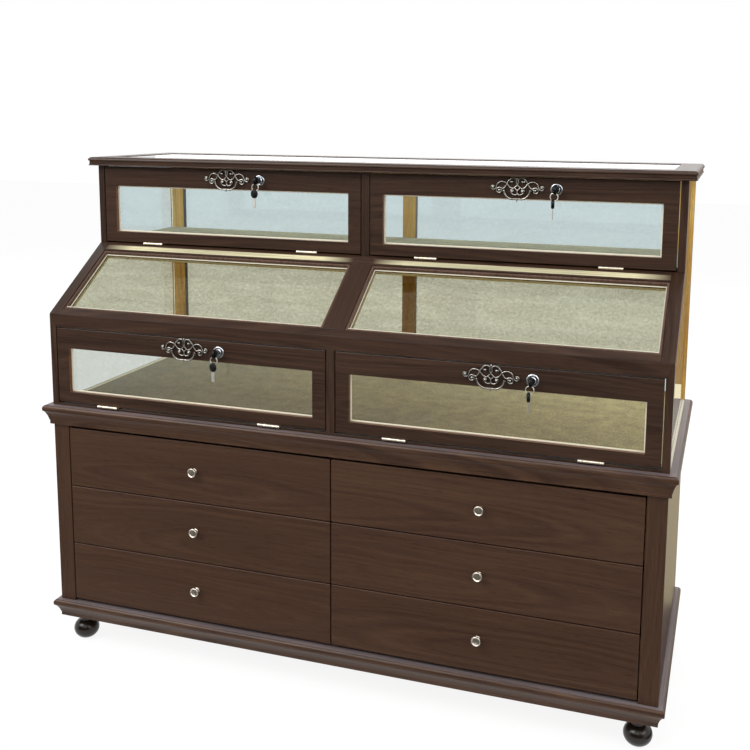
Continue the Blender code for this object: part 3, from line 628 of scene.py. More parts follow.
class Shape:
    """A mesh in the making, in the part's own frame and in metres."""

    def __init__(self) -> None:
        """Starts an empty mesh."""
        self.bm = bmesh.new()

    def loft(self, loops: Sequence[Sequence[Point]], closed: bool = False,
             slots: dict[int, int] | None = None) -> "Shape":
        """Skins a row of point loops.

        Args:
            loops: Loops with equally many points.
            closed: Joins the last loop to the first instead of capping both ends.
            slots: Material slot of each band of faces that isn't in the first one.

        Returns:
            This shape.
        """
        rings = [[self.bm.verts.new(point) for point in loop] for loop in loops]
        pairs = list(zip(rings, rings[1:]))
        if closed:
            pairs.append((rings[-1], rings[0]))
        count = len(rings[0])
        for band, (first, second) in enumerate(pairs):
            for index in range(count):
                following = (index + 1) % count
                face = self.bm.faces.new((first[index], first[following], second[following], second[index]))
                face.material_index = (slots or {}).get(band, 0)
        if not closed:
            self.bm.faces.new(rings[0])
            self.bm.faces.new(rings[-1])
        return self

    def block(self, low: Point, high: Point) -> "Shape":
        """Adds a squared board between two corners and returns this shape."""
        corners = [(low[0], low[1]), (high[0], low[1]), (high[0], high[1]), (low[0], high[1])]
        return self.loft([[(x, y, z) for x, y in corners] for z in (low[2], high[2])])

    def along_x(self, outline: Section, ends: Sequence[float]) -> "Shape":
        """Runs a (y, z) outline from one x to another and returns this shape."""
        return self.loft([[(x, y, z) for y, z in outline] for x in ends])

    def along_y(self, outline: Section, ends: Sequence[float]) -> "Shape":
        """Runs an (x, z) outline from one y to another and returns this shape."""
        return self.loft([[(x, y, z) for x, z in outline] for y in ends])

    def turned(self, profile: Section, base: Point, axis: Point, steps: int = 48) -> "Shape":
        """Turns a profile about an axis, with flat ends.

        Args:
            profile: (radius, reach along the axis) points.
            base: Point on the axis at reach 0.
            axis: Direction of the reach.
            steps: Points round the axis.

        Returns:
            This shape.
        """
        out = Vector(axis).normalized()
        right = out.orthogonal().normalized()
        up = out.cross(right)
        turns = [math.tau * step / steps for step in range(steps)]
        loops = []
        for radius, reach in profile:
            centre = Vector(base) + out * reach
            loops.append([centre + right * radius * math.cos(t) + up * radius * math.sin(t) for t in turns])
        return self.loft(loops)

    def tube(self, path: Sequence[Vector], radius: float, sides: int = 10) -> "Shape":
        """Sweeps a round bar along a path, with domed ends.

        Args:
            path: Points of the bar's middle line.
            radius: The bar's radius.
            sides: Points round the bar.

        Returns:
            This shape.
        """
        last = len(path) - 1
        stations = []
        for index, point in enumerate(path):
            tangent = path[min(index + 1, last)] - path[max(index - 1, 0)]
            stations.append((point, tangent.normalized(), radius))
        dome = [math.radians(turn) for turn in (75, 40)]
        start, ahead, _ = stations[0]
        end, onward, _ = stations[-1]
        head = [(start - ahead * radius * math.sin(t), ahead, radius * math.cos(t)) for t in dome]
        tail = [(end + onward * radius * math.sin(t), onward, radius * math.cos(t)) for t in reversed(dome)]
        turns = [math.tau * step / sides for step in range(sides)]
        across = ahead.orthogonal().normalized()
        loops = []
        for point, tangent, size in head + stations + tail:
            across = (across - tangent * across.dot(tangent)).normalized()
            other = tangent.cross(across)
            loops.append([point + across * size * math.cos(t) + other * size * math.sin(t) for t in turns])
        return self.loft(loops)

    def ball(self, centre: Point, radius: float) -> "Shape":
        """Adds a small cast bead and returns this shape."""
        bmesh.ops.create_icosphere(self.bm, subdivisions=2, radius=radius, matrix=Matrix.Translation(centre))
        return self


def in_mm(points: Sequence[Pair]) -> Section:
    """Returns points given in millimetres as metres."""
    return [(first * MM, second * MM) for first, second in points]


def rectangle(low_x: float, high_x: float, low_z: float, high_z: float, y: float) -> list[Point]:
    """Returns the corners of an upright rectangle at one depth."""
    return [(low_x, y, low_z), (high_x, y, low_z), (high_x, y, high_z), (low_x, y, high_z)]


def arc(centre: Pair, radius: float, start: float, end: float, steps: int) -> Section:
    """Returns the points of an arc.

    Args:
        centre: The arc's middle.
        radius: Its radius.
        start: Angle of its first point, in radians.
        end: Angle of its last point.
        steps: Stretches between its points.

    Returns:
        Its points, from start to end.
    """
    turns = [start + (end - start) * step / steps for step in range(steps + 1)]
    return [(centre[0] + radius * math.cos(turn), centre[1] + radius * math.sin(turn)) for turn in turns]


def curve_through(points: Sequence[Vector], steps: int = 5) -> list[Vector]:
    """Returns a smooth path through a few points.

    Args:
        points: Points that the path passes.
        steps: Points of the result for each stretch.

    Returns:
        The path's points.
    """
    count = len(points)
    path = []
    for index in range(count - 1):
        b, c = points[index], points[index + 1]
        a = points[index - 1] if index else b * 2 - c
        d = points[index + 2] if index + 2 < count else c * 2 - b
        for step in range(steps):
            t = step / steps
            path.append((b * 2 + (c - a) * t + (a * 2 - b * 5 + c * 4 - d) * t * t
                         + (b * 3 - a - c * 3 + d) * t ** 3) / 2)
    path.append(points[-1].copy())
    return path


def add_piece(name: str, shape: Shape, finishes: Finish | Sequence[Finish], body: str = CABINET,
              grain: Grain = Grain.ACROSS, edge: float = 0.0, stands_for: Sequence[str] = ()) -> None:
    """Adds a finished piece to the scene, on the body that carries it.

    Args:
        name: The piece's name.
        shape: Its mesh in the part's frame.
        finishes: One finish, or one for each material slot of the mesh.
        body: CAD body that it moves with.
        grain: Way of the fibres, which sets the object's own axes.
        edge: Radius of the softened edges; 0 for turned and cast pieces.
        stands_for: CAD nodes that it replaces.
    """
    bm = shape.bm
    bmesh.ops.recalc_face_normals(bm, faces=bm.faces)
    corners = [vertex.co for vertex in bm.verts]
    low = Vector(min(corner[axis] for corner in corners) for axis in range(3))
    high = Vector(max(corner[axis] for corner in corners) for axis in range(3))
    place = Matrix.Translation((low + high) / 2) @ grain.axes()
    bm.transform(place.inverted())
    mesh = bpy.data.meshes.new(name)
    bm.to_mesh(mesh)
    bm.free()
    dress = [finishes] if isinstance(finishes, Finish) else list(finishes)
    for finish in dress:
        mesh.materials.append(finish.material())
    mesh.shade_smooth()
    piece = bpy.data.objects.new(name, mesh)
    bpy.context.scene.collection.objects.link(piece)
    piece.matrix_world = place
    if edge:
        soften = piece.modifiers.new("softened_edges", "BEVEL")
        soften.width = edge
        soften.segments = 2
        soften.limit_method = "ANGLE"
        soften.angle_limit = SMOOTH_ANGLE
        soften.harden_normals = True
    else:
        mesh.set_sharp_from_angle(angle=SMOOTH_ANGLE)
    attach(piece, body)
    if stands_for:
        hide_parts(*stands_for)
    LOG.info("%s on %s: %d faces", name, body, len(mesh.polygons))


@dataclass(frozen=True)
class Foot:
    """A turned bun foot: squashed ball, short neck and a collar under the plinth."""

    node: str
    collar: float = 19 * MM
    collar_height: float = 8 * MM
    neck: float = 13 * MM
    neck_height: float = 10 * MM
    flat: float = 9 * MM
    chamfer: float = 0.9 * MM
    flare: float = 1.5 * MM
    steps: int = 20

    def build(self) -> None:
        """Turns the foot and dresses it."""
        low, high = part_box(self.node)
        top = high.z - low.z
        radius = (high.x - low.x) / 2
        bun = top - self.collar_height - self.neck_height
        start = math.asin(self.flat / radius)
        end = math.asin(self.neck / radius)
        span = math.pi - start - end
        depth = math.cos(start) + math.cos(end)
        profile = [(self.flat - self.chamfer, 0.0)]
        for step in range(self.steps + 1):
            turn = start + span * step / self.steps
            profile.append((radius * math.sin(turn), bun * (math.cos(start) - math.cos(turn)) / depth))
        shoulder = bun + self.neck_height
        flare = self.flare
        profile += [(self.neck, bun + self.neck_height / 2), (self.neck + flare, shoulder - flare / 2),
                    (self.collar - flare, shoulder), (self.collar, shoulder + flare),
                    (self.collar, top - flare / 2), (self.collar - flare / 2, top)]
        base = ((low.x + high.x) / 2, (low.y + high.y) / 2, low.z)
        shape = Shape().turned(profile, base, (0, 0, 1))
        add_piece(f"{self.node}_turning", shape, FOOT_GLOSS, grain=Grain.FLAT, stands_for=[self.node])


@dataclass(frozen=True)
class Moulding:
    """A moulded edge in three mitred lengths round the front and the sides, and the board that they frame.

    Args:
        node: CAD node that it stands for.
        stem: First word of its pieces' names.
        overhang: How far the nose stands past the body.
        fillet: Overhang of the square fillet below the cove.
        fillet_height: Height of that fillet.
        nose: Height of the round nose.
        upper_round: Radius of the nose's upper edge, as a share of its height.
        lower_round: Radius of its lower edge, as a share of its height.
        lip: Width of the step between cove and fillet.
        bend: Where the cove bends, as shares of its width and height from the fillet.
        width: From the body's faces to the inner edge of each length.
        board_gap: How far the board lies below the lengths' faces.
        edge: Radius of the softened edges.
        steps: Points on each curve.
        finish: Its wood.
    """

    node: str
    stem: str
    overhang: float
    fillet: float = 4 * MM
    fillet_height: float = 8 * MM
    nose: float = 13 * MM
    upper_round: float = 0.5
    lower_round: float = 0.3
    lip: float = 0.8 * MM
    bend: Pair = (0.3, 0.62)
    width: float = 50 * MM
    board_gap: float = 0.2 * MM
    edge: float = 0.4 * MM
    steps: int = 8
    finish: Finish = MOULDING_WALNUT

    def outer(self, height: float) -> Section:
        """Returns (outward, height) points from the top of the nose down to the foot of the fillet."""
        upper = self.nose * self.upper_round
        lower = self.nose * self.lower_round
        points = arc((self.overhang - upper, height - upper), upper, QUARTER_TURN, 0.0, self.steps)
        under = height - self.nose + lower
        stops = self.steps // 2
        stretch = QUARTER_TURN / (stops + 1)
        points += arc((self.overhang - lower, under), lower, -stretch, -stretch * stops, stops - 1)
        start_out, start_z = points[-1]
        end_out = self.fillet + self.lip
        bend_out = end_out + (start_out - end_out) * self.bend[0]
        bend_z = self.fillet_height + (start_z - self.fillet_height) * self.bend[1]
        for step in range(1, self.steps + 1):
            t = step / self.steps
            points.append((start_out * (1 - t) ** 2 + 2 * bend_out * t * (1 - t) + end_out * t * t,
                           start_z * (1 - t) ** 2 + 2 * bend_z * t * (1 - t) + self.fillet_height * t * t))
        points += [(self.fillet, self.fillet_height), (self.fillet, 0.0)]
        return points

    def under(self) -> Section:
        """Returns the points of the front length's underside, none on a plain one."""
        return []

    def inner(self, height: float) -> Section:
        """Returns the points of the inner edge, from the foot up to the top."""
        return [(-self.width, 0.0), (-self.width, height)]

    def build(self) -> None:
        """Builds the three lengths and the board between them."""
        low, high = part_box(self.node)
        self.lengths(low, high)
        half = high.x - self.overhang - self.width
        start = low.y + self.overhang + self.width
        board = Shape().block((-half, start, low.z + self.board_gap), (half, high.y, high.z - self.board_gap))
        add_piece(f"{self.stem}_board", board, self.finish, grain=Grain.FLAT, stands_for=[self.node])

    def lengths(self, low: Vector, high: Vector) -> None:
        """Builds the front length and the two side lengths, mitred at the front corners.

        Args:
            low: Lowest corner of the node.
            high: Highest corner of the node.
        """
        height = high.z - low.z
        half = high.x - self.overhang
        front = low.y + self.overhang
        section = self.outer(height) + self.under() + self.inner(height)
        ends = [[(sign * (half + out), front - out, low.z + z) for out, z in section] for sign in (-1, 1)]
        add_piece(f"{self.stem}_front", Shape().loft(ends), self.finish, edge=self.edge,
                  stands_for=[self.node])
        plain = self.outer(height) + self.inner(height)
        corner = [(half + out, front - out, low.z + z) for out, z in plain]
        back = [(x, high.y, z) for x, _, z in corner]
        for side in Side:
            ends = [[(side.value * x, y, z) for x, y, z in loop] for loop in (corner, back)]
            add_piece(f"{self.stem}_{side.word}", Shape().loft(ends), self.finish, grain=Grain.DEEP_SIDE,
                      edge=self.edge, stands_for=[self.node])


@dataclass(frozen=True)
class Cap(Moulding):
    """The cap frame: rounded top edge, flat band and a thin bead, with a rebate for the top glass.

    Args:
        rebate: Width of the ledge that the glass lies on.
        ledge: Height of that ledge above the cap's foot.
        groove: Outward start, outward end and depth of the groove that the lock cams turn up into.
        round_over: Radius of the top edge.
        quirk: Height of each of the two small steps below the top edge.
        band: Overhang of the flat band.
        bead: Radius of the bead at its foot.
        rail_edge: Radius of the back rail's softened edges.
    """

    rebate: float = 6 * MM
    ledge: float = 10.9 * MM
    groove: tuple[float, float, float] = (-19.7 * MM, -23.9 * MM, 8.5 * MM)
    round_over: float = 6 * MM
    quirk: float = 0.8 * MM
    band: float = 12.8 * MM
    bead: float = 1.4 * MM
    rail_edge: float = 0.3 * MM

    def outer(self, height: float) -> Section:
        """Returns (outward, height) points down the rounded edge, the band and the bead."""
        middle = (self.overhang - self.round_over, height - self.round_over)
        points = arc(middle, self.round_over, QUARTER_TURN, 0.0, self.steps)
        shoulder = height - self.round_over - self.quirk
        points += [(self.overhang, shoulder), (self.band, shoulder - self.quirk), (self.band, 2 * self.bead)]
        return points + arc((self.band, self.bead), self.bead, QUARTER_TURN, -QUARTER_TURN, self.steps)

    def under(self) -> Section:
        """Returns the groove in the front length's underside."""
        start, end, deep = self.groove
        return [(start, 0.0), (start, deep), (end, deep), (end, 0.0)]

    def inner(self, height: float) -> Section:
        """Returns the inner edge with its rebate, from the foot up to the top."""
        return [(-self.width, 0.0), (-self.width, self.ledge), (self.rebate - self.width, self.ledge),
                (self.rebate - self.width, height)]

    def build(self) -> None:
        """Builds the mitred lengths and the plain back rail, whose end tabs close the side rebates."""
        low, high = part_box(self.node)
        self.lengths(low, high)
        half = high.x - self.overhang - self.width
        inside = high.y - self.width - self.overhang
        shelf = low.z + self.ledge
        outline = [(high.y, low.z), (high.y, high.z), (inside + self.rebate, high.z),
                   (inside + self.rebate, shelf), (inside, shelf), (inside, low.z)]
        rail = Shape().along_x(outline, (-half, half))
        for side in Side:
            near, far = side.span(half, half + self.rebate - SEAT)
            rail.block((near, inside + self.rebate, shelf), (far, high.y, high.z))
        add_piece(f"{self.stem}_back", rail, WALNUT, edge=self.rail_edge, stands_for=[self.node])


@dataclass(frozen=True)
class Chest:
    """The chest's carcass: stiles, sides, back panel, partition and drawer runners."""

    stile: float = 34 * MM
    side: float = 20 * MM
    panel: float = 10 * MM
    runner: float = 12 * MM
    runner_width: float = 27 * MM
    runner_end: float = 1 * MM
    groove: float = 1.0 * MM
    half_partition: float = 9 * MM
    drawer_lift: float = 12 * MM
    stile_edge: float = 1.2 * MM
    board_edge: float = 0.8 * MM
    runner_edge: float = 0.6 * MM

    def build(self) -> None:
        """Builds the boards and dresses them."""
        node = "chest_carcass"
        low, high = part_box(node)
        stile_back = low.y + LAYOUT.depth
        for side in Side:
            near, far = side.span(high.x, high.x - self.stile)
            board = Shape().block((near, low.y, low.z), (far, stile_back, high.z))
            add_piece(f"chest_stile_{side.word}", board, CHEST_WALNUT, grain=Grain.UPRIGHT,
                      edge=self.stile_edge, stands_for=[node])
            inner = high.x - self.side
            near, far = side.span(high.x - self.groove / 2, inner)
            board = Shape().block((near, stile_back + self.groove, low.z), (far, high.y - self.panel, high.z))
            add_piece(f"chest_side_{side.word}", board, CHEST_WALNUT, grain=Grain.UPRIGHT_SIDE,
                      edge=self.board_edge, stands_for=[node])
            self.runners(f"chest_runners_{side.word}", side.span(inner, inner - self.runner_width), node)
        board = Shape().block((low.x + SEAT, high.y - self.panel, low.z),
                              (high.x - SEAT, high.y - SEAT, high.z))
        add_piece("chest_back", board, CHEST_WALNUT, grain=Grain.UPRIGHT, edge=self.board_edge,
                  stands_for=[node])
        node = "chest_partition"
        low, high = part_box(node)
        half = self.half_partition
        board = Shape().block((-half, low.y, low.z), (half, high.y, high.z))
        add_piece("chest_partition_board", board, BARE, grain=Grain.DEEP_SIDE, edge=self.board_edge,
                  stands_for=[node])
        for side in Side:
            self.runners(f"partition_runners_{side.word}", side.span(half, high.x), node)

    def runners(self, name: str, span: Sequence[float], node: str) -> None:
        """Builds the three runners on one wall.

        Args:
            name: The piece's name.
            span: Lower and higher x.
            node: CAD node that they belong to.
        """
        near, far = span
        front = LAYOUT.front + LAYOUT.depth + self.runner_end
        back = LAYOUT.back - self.panel - self.runner_end
        shape = Shape()
        for row in Row:
            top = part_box(f"drawer_{row.value}_left")[0].z + self.drawer_lift - SEAT
            shape.block((near, front, top - self.runner), (far, back, top))
        add_piece(name, shape, BARE, grain=Grain.DEEP_SIDE, edge=self.runner_edge, stands_for=[node])


@dataclass(frozen=True)
class Knob:
    """A turned knob: rosette, waisted stem and a rimmed, dished head with a centre point.

    Its outline is in millimetres, radius first and then reach, given from four places.

    Args:
        name: The knob's node.
        body: Drawer that carries it.
        head: Reach of the head, from its back to its rim.
        waist: Radius where the stem meets the head.
        stem: From the axis and the drawer's face.
        skirt: Inward from the head's radius, and out from its back.
        rim: Inward from the head's radius, and back from its rim.
        point: From the axis, and back from the rim.
    """

    name: str
    body: str
    head: float = 7 * MM
    waist: float = 5.8 * MM
    stem: tuple[Pair, ...] = ((5.8, 0.0), (5.8, 0.9), (5.2, 1.7), (4.3, 2.2), (3.9, 3.4), (4.3, 4.8))
    skirt: tuple[Pair, ...] = ((1.2, 1.5), (0.2, 3.0), (0.0, 4.6))
    rim: tuple[Pair, ...] = ((0.3, 1.2), (0.8, 0.3), (1.5, 0.0), (2.2, 0.3), (2.7, 1.1), (3.2, 1.7),
                             (4.1, 1.7))
    point: tuple[Pair, ...] = ((4.0, 1.4), (2.6, 0.9), (1.2, 0.6), (0.3, 0.5))

    def build(self) -> None:
        """Turns the knob and dresses it."""
        low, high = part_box(self.name)
        radius = (high.x - low.x) / 2
        reach = high.y - low.y
        back = reach - self.head
        profile = in_mm(self.stem) + [(self.waist, back)]
        profile += [(radius - inward, back + out) for inward, out in in_mm(self.skirt)]
        profile += [(radius - inward, reach - deep) for inward, deep in in_mm(self.rim)]
        profile += [(outward, reach - deep) for outward, deep in in_mm(self.point)]
        base = ((low.x + high.x) / 2, high.y, (low.z + high.z) / 2)
        add_piece(f"{self.name}_turning", Shape().turned(profile, base, (0, -1, 0)), NICKEL, self.body,
                  stands_for=[self.name])


@dataclass(frozen=True)
class Drawer:
    """A drawer: stained front board, open box of bare softwood and a turned knob."""

    row: Row
    side: Side
    gap: float = 2 * MM
    box_inner: float = 10 * MM
    box_gap: float = 1 * MM
    wall: float = 12 * MM
    bottom: float = 8 * MM
    lift: float = 12 * MM
    drop: float = 18 * MM
    front_edge: float = 1.3 * MM
    box_edge: float = 0.7 * MM

    def build(self) -> None:
        """Builds the front, the four box boards and the knob."""
        tag = f"{self.row.value}_{self.side.word}"
        node = f"drawer_{tag}"
        low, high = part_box(node)
        opening = LAYOUT.half_width - Chest().stile
        front = LAYOUT.front + LAYOUT.depth
        near, far = self.side.span(self.gap / 2, opening - self.gap)
        board = Shape().block((near, LAYOUT.front, low.z), (far, front, high.z))
        add_piece(f"{node}_front", board, CHEST_WALNUT, node, edge=self.front_edge, stands_for=[node])
        left, right = self.side.span(self.box_inner, opening - self.box_gap)
        base = low.z + self.lift
        top = high.z - self.drop
        inner_left = left + self.wall
        inner_right = right - self.wall
        inner_back = high.y - self.wall
        boards = {
            "left": (Grain.DEEP_SIDE, (left, front, base), (inner_left, high.y, top)),
            "right": (Grain.DEEP_SIDE, (inner_right, front, base), (right, high.y, top)),
            "back": (Grain.ACROSS, (inner_left, inner_back, base), (inner_right, high.y, top)),
            "bottom": (Grain.FLAT, (inner_left, front, base), (inner_right, inner_back, base + self.bottom)),
        }
        for word, (grain, corner, opposite) in boards.items():
            add_piece(f"{node}_{word}", Shape().block(corner, opposite), BARE, node, grain, self.box_edge,
                      [node])
        Knob(f"knob_{tag}", node).build()


@dataclass(frozen=True)
class ShowcaseFront:
    """The fixed front frames: sill, posts, mullion and transom below, slope frame, and the upper posts.

    The slope's rails are measured up the slope. Its panes lie on ledges at the foot of pockets. Along the top
    rail a strip of painted light runs above a dark lip. The bright cream line at a pane's foot, partly
    painted highlight, stops short of the pocket.
    """

    post: float = 13.5 * MM
    mullion: float = 16 * MM
    sill: float = 4.2 * MM
    transom: float = 26 * MM
    stile: float = 22.5 * MM
    centre: float = 43 * MM
    bottom_rail: float = 18 * MM
    top_rail: float = 24.5 * MM
    lip: float = 3.2 * MM
    rub: float = 13.5 * MM
    pocket: float = 14.5 * MM
    ledge: float = 6 * MM
    edge: float = 0.7 * MM
    sill_edge: float = 0.5 * MM
    fine_edge: float = 0.4 * MM
    foot_line_end: float = 5.4 * MM

    def build(self) -> None:
        """Builds all three frames."""
        self.lower()
        self.slope()
        self.upper()

    def lower(self) -> None:
        """Builds the frame round the lower doors, its transom mitred to the posts and to the slope."""
        node = ["lower_front_frame"]
        half = LAYOUT.half_width
        front = LAYOUT.front
        back = front + LAYOUT.depth
        head = LAYOUT.slope_foot
        foot = LAYOUT.floor
        lean = LAYOUT.depth * math.tan((QUARTER_TURN - LAYOUT.slope_angle) / 2)
        soffit = head - self.transom
        inner = half - self.post
        sill = Shape().block((-inner, front, foot), (inner, back, foot + self.sill))
        add_piece("lower_sill", sill, WALNUT, edge=self.sill_edge, stands_for=node)
        faces = ((front, head), (back, head - lean))
        loops = [[(-inner, y, soffit), (inner, y, soffit), (half, y, top), (-half, y, top)]
                 for y, top in faces]
        add_piece("transom", Shape().loft(loops), WALNUT, edge=self.edge, stands_for=node)
        for side in Side:
            loops = []
            for y, top in faces:
                corners = [(half, foot), (half, top), (inner, soffit), (inner, foot)]
                loops.append([(side.value * x, y, z) for x, z in corners])
            add_piece(f"lower_post_{side.word}", Shape().loft(loops), WALNUT, grain=Grain.UPRIGHT,
                      edge=self.edge, stands_for=node)
        bar = Shape().block((-self.mullion / 2, front, foot + self.sill), (self.mullion / 2, back, soffit))
        add_piece("lower_mullion", bar, WALNUT, grain=Grain.UPRIGHT, edge=self.edge, stands_for=node)

    def member(self, name: str, outline: Section, ends: Sequence[float], edge: float, finish: Finish = WALNUT,
               grain: Grain = Grain.ACROSS) -> None:
        """Adds a member of the sloping frame.

        Args:
            name: The piece's name.
            outline: Its (y, z) cross-section.
            ends: Its lower and higher x.
            edge: Radius of its softened edges.
            finish: Its finish.
            grain: Way of its fibres.
        """
        add_piece(name, Shape().along_x(outline, ends), finish, grain=grain, edge=edge,
                  stands_for=["upper_front_frame"])

    def slope(self) -> None:
        """Builds the sloping frame with its glass pockets and glazing beads."""
        half = LAYOUT.half_width
        deep = LAYOUT.depth
        at = LAYOUT.on_slope
        corner = LAYOUT.slope_angle + (QUARTER_TURN - LAYOUT.slope_angle) / 2
        start = SEAT / math.sin(corner)
        tuck = start + deep / math.tan(corner)
        low = self.bottom_rail
        high = LAYOUT.slope_length - self.top_rail
        inner = half - self.stile
        across = (-inner, inner)
        bottom = [at(start, 0), at(low, 0), at(low, self.pocket), at(low + self.ledge, self.pocket),
                  at(low + self.ledge, deep), at(tuck, deep)]
        self.member("slope_bottom_rail", bottom, across, self.edge)
        rear = LAYOUT.upper_front + deep
        under = LAYOUT.slope_foot + (rear - LAYOUT.front) * math.tan(LAYOUT.slope_angle)
        under -= deep / math.cos(LAYOUT.slope_angle)
        crown = [(LAYOUT.upper_front, LAYOUT.ledge), (rear, LAYOUT.ledge), (rear, under)]
        # Above the dark lip the top rail carries a strip of painted light.
        painted_light_start = high + self.lip
        dark = painted_light_start + self.rub
        top = [at(dark, 0)] + crown + [at(high - self.ledge, deep), at(high - self.ledge, self.pocket),
                                       at(dark, self.pocket)]
        self.member("slope_top_rail", top, across, self.fine_edge)
        seat = self.pocket - SEAT
        strips = {"slope_rub_strip": (PAINTED_LIGHT_WALNUT, painted_light_start, dark - SEAT),
                  "slope_top_lip": (WALNUT, high, painted_light_start - SEAT)}
        for name, (finish, start_up, end_up) in strips.items():
            strip = [at(start_up, 0), at(end_up, 0), at(end_up, seat), at(start_up, seat)]
            self.member(name, strip, across, self.fine_edge, finish)
        whole = [at(start, 0)] + crown + [at(tuck, deep)]
        ledge = [at(low, self.pocket), at(high, self.pocket), at(high, deep), at(low, deep)]
        for side in Side:
            self.member(f"slope_stile_{side.word}", whole, side.span(inner, half), self.edge,
                        grain=Grain.SLOPE)
            self.member(f"slope_stile_ledge_{side.word}", ledge, side.span(inner, inner - self.ledge),
                        self.fine_edge, grain=Grain.SLOPE)
        middle = self.centre / 2
        post = [at(low, 0), at(high, 0), at(high, deep), at(low, deep)]
        self.member("slope_centre_stile", post, (-middle, middle), self.edge, grain=Grain.SLOPE)
        for side in Side:
            self.member(f"slope_centre_ledge_{side.word}", ledge, side.span(middle, middle + self.ledge),
                        self.fine_edge, grain=Grain.SLOPE)
            self.beads(side, middle, inner, low, high)

    def beads(self, side: Side, near: float, far: float, low: float, high: float) -> None:
        """Builds the planed bead, the sealant line and a cream edge of painted light for one sloping pane.

        Their sections are in millimetres, inward from the pocket's edge and down from the slope's face.

        Args:
            side: Half of the cabinet.
            near: Pocket's edge beside the centre stile.
            far: Pocket's edge beside the outer stile.
            low: Pocket's lower edge, up the slope.
            high: Pocket's upper edge, up the slope.
        """
        rings = {
            "bead": (BEAD, [(0.6, 9.1), (0.6, 2.0), (1.1, 1.5), (4.0, 1.7), (4.9, 2.6), (5.1, 9.1)]),
            "sealant": (SEALANT_AND_PAINTED_LIGHT, [(5.3, 9.1), (5.3, 7.8), (6.0, 7.6), (6.9, 8.4), (7.1, 9.1)]),
            # The cream edge on the pocket's shaded inner wall is painted light.
            "opening_edge": (SEALANT_AND_PAINTED_LIGHT, [(6.1, 14.7), (6.9, 14.7), (6.9, 19.8), (6.1, 19.8)]),
        }
        for word, (finish, section) in rings.items():
            loops = []
            for inset, deep in in_mm(section):
                corners = [(near + inset, low + inset), (far - inset, low + inset),
                           (far - inset, high - inset), (near + inset, high - inset)]
                loops.append([(side.value * x, *LAYOUT.on_slope(up, deep)) for x, up in corners])
            add_piece(f"slope_{word}_{side.word}", Shape().loft(loops, closed=True), finish,
                      grain=Grain.SLOPE)
        # A cream line along the pane's foot: sealant, and in part a painted highlight.
        bright = in_mm([(4.6, 2.0), (4.8, 1.2), (6.2, 1.4), (6.6, 3.0), (5.3, 3.2)])
        outline = [LAYOUT.on_slope(low + inset, deep) for inset, deep in bright]
        ends = side.span(near + self.foot_line_end, far - self.foot_line_end)
        add_piece(f"slope_foot_line_{side.word}", Shape().along_x(outline, ends), SEALANT_AND_PAINTED_LIGHT)

    def upper(self) -> None:
        """Builds the posts and the mullion of the upper doors."""
        front = LAYOUT.upper_front
        back = front + LAYOUT.depth
        half = LAYOUT.half_width
        bars = {"upper_post_left": (-half, self.post - half), "upper_post_right": (half - self.post, half),
                "upper_mullion": (-self.mullion / 2, self.mullion / 2)}
        for name, (low, high) in bars.items():
            bar = Shape().block((low, front, LAYOUT.ledge), (high, back, LAYOUT.post_top))
            add_piece(name, bar, WALNUT, grain=Grain.UPRIGHT, edge=self.edge,
                      stands_for=["upper_front_frame"])


@dataclass(frozen=True)
class ShowcaseBack:
    """The back frame: stained outside, golden inside (varnish and painted light), with the back glass let in
    from behind.
    """

    stile: float = 38 * MM
    mullion: float = 30 * MM
    top_rail: float = 30 * MM
    bottom_rail: float = 14 * MM
    rebate: float = 6 * MM
    edge: float = 0.7 * MM

    def build(self) -> None:
        """Builds stiles, rails and mullion."""
        low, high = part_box("back_frame")
        glass_low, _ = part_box("back_glass")
        stop = glass_low.y - SEAT
        inner = high.x - self.stile
        hidden = inner + self.rebate
        for side in Side:
            outline = [(inner, low.y), (high.x, low.y), (high.x, high.y), (hidden, high.y), (hidden, stop),
                       (inner, stop)]
            loops = [[(side.value * x, y, z) for x, y in outline] for z in (low.z, high.z)]
            self.varnished(f"back_stile_{side.word}", Shape().loft(loops), Grain.UPRIGHT)
        rails = {"back_bottom_rail": (low.z, low.z + self.bottom_rail, -self.rebate),
                 "back_top_rail": (high.z, high.z - self.top_rail, self.rebate)}
        for name, (outer, sight, rebate) in rails.items():
            outline = [(low.y, outer), (low.y, sight), (stop, sight), (stop, sight + rebate),
                       (high.y, sight + rebate), (high.y, outer)]
            self.varnished(name, Shape().along_x(outline, (-inner, inner)), Grain.ACROSS)
        bar = Shape().block((-self.mullion / 2, low.y, low.z + self.bottom_rail),
                            (self.mullion / 2, stop, high.z - self.top_rail))
        self.varnished("back_mullion", bar, Grain.UPRIGHT)

    def varnished(self, name: str, shape: Shape, grain: Grain) -> None:
        """Adds a member whose inner face is painted golden, partly varnish and partly painted light.

        Args:
            name: The piece's name.
            shape: Its mesh.
            grain: Way of its fibres.
        """
        bmesh.ops.recalc_face_normals(shape.bm, faces=shape.bm.faces)
        mostly = 0.9
        # Faces that look into the cabinet take the golden colour, partly painted light.
        for face in shape.bm.faces:
            face.material_index = int(face.normal.y < -mostly)
        add_piece(name, shape, [WALNUT, GOLDEN], grain=grain, edge=self.edge, stands_for=["back_frame"])


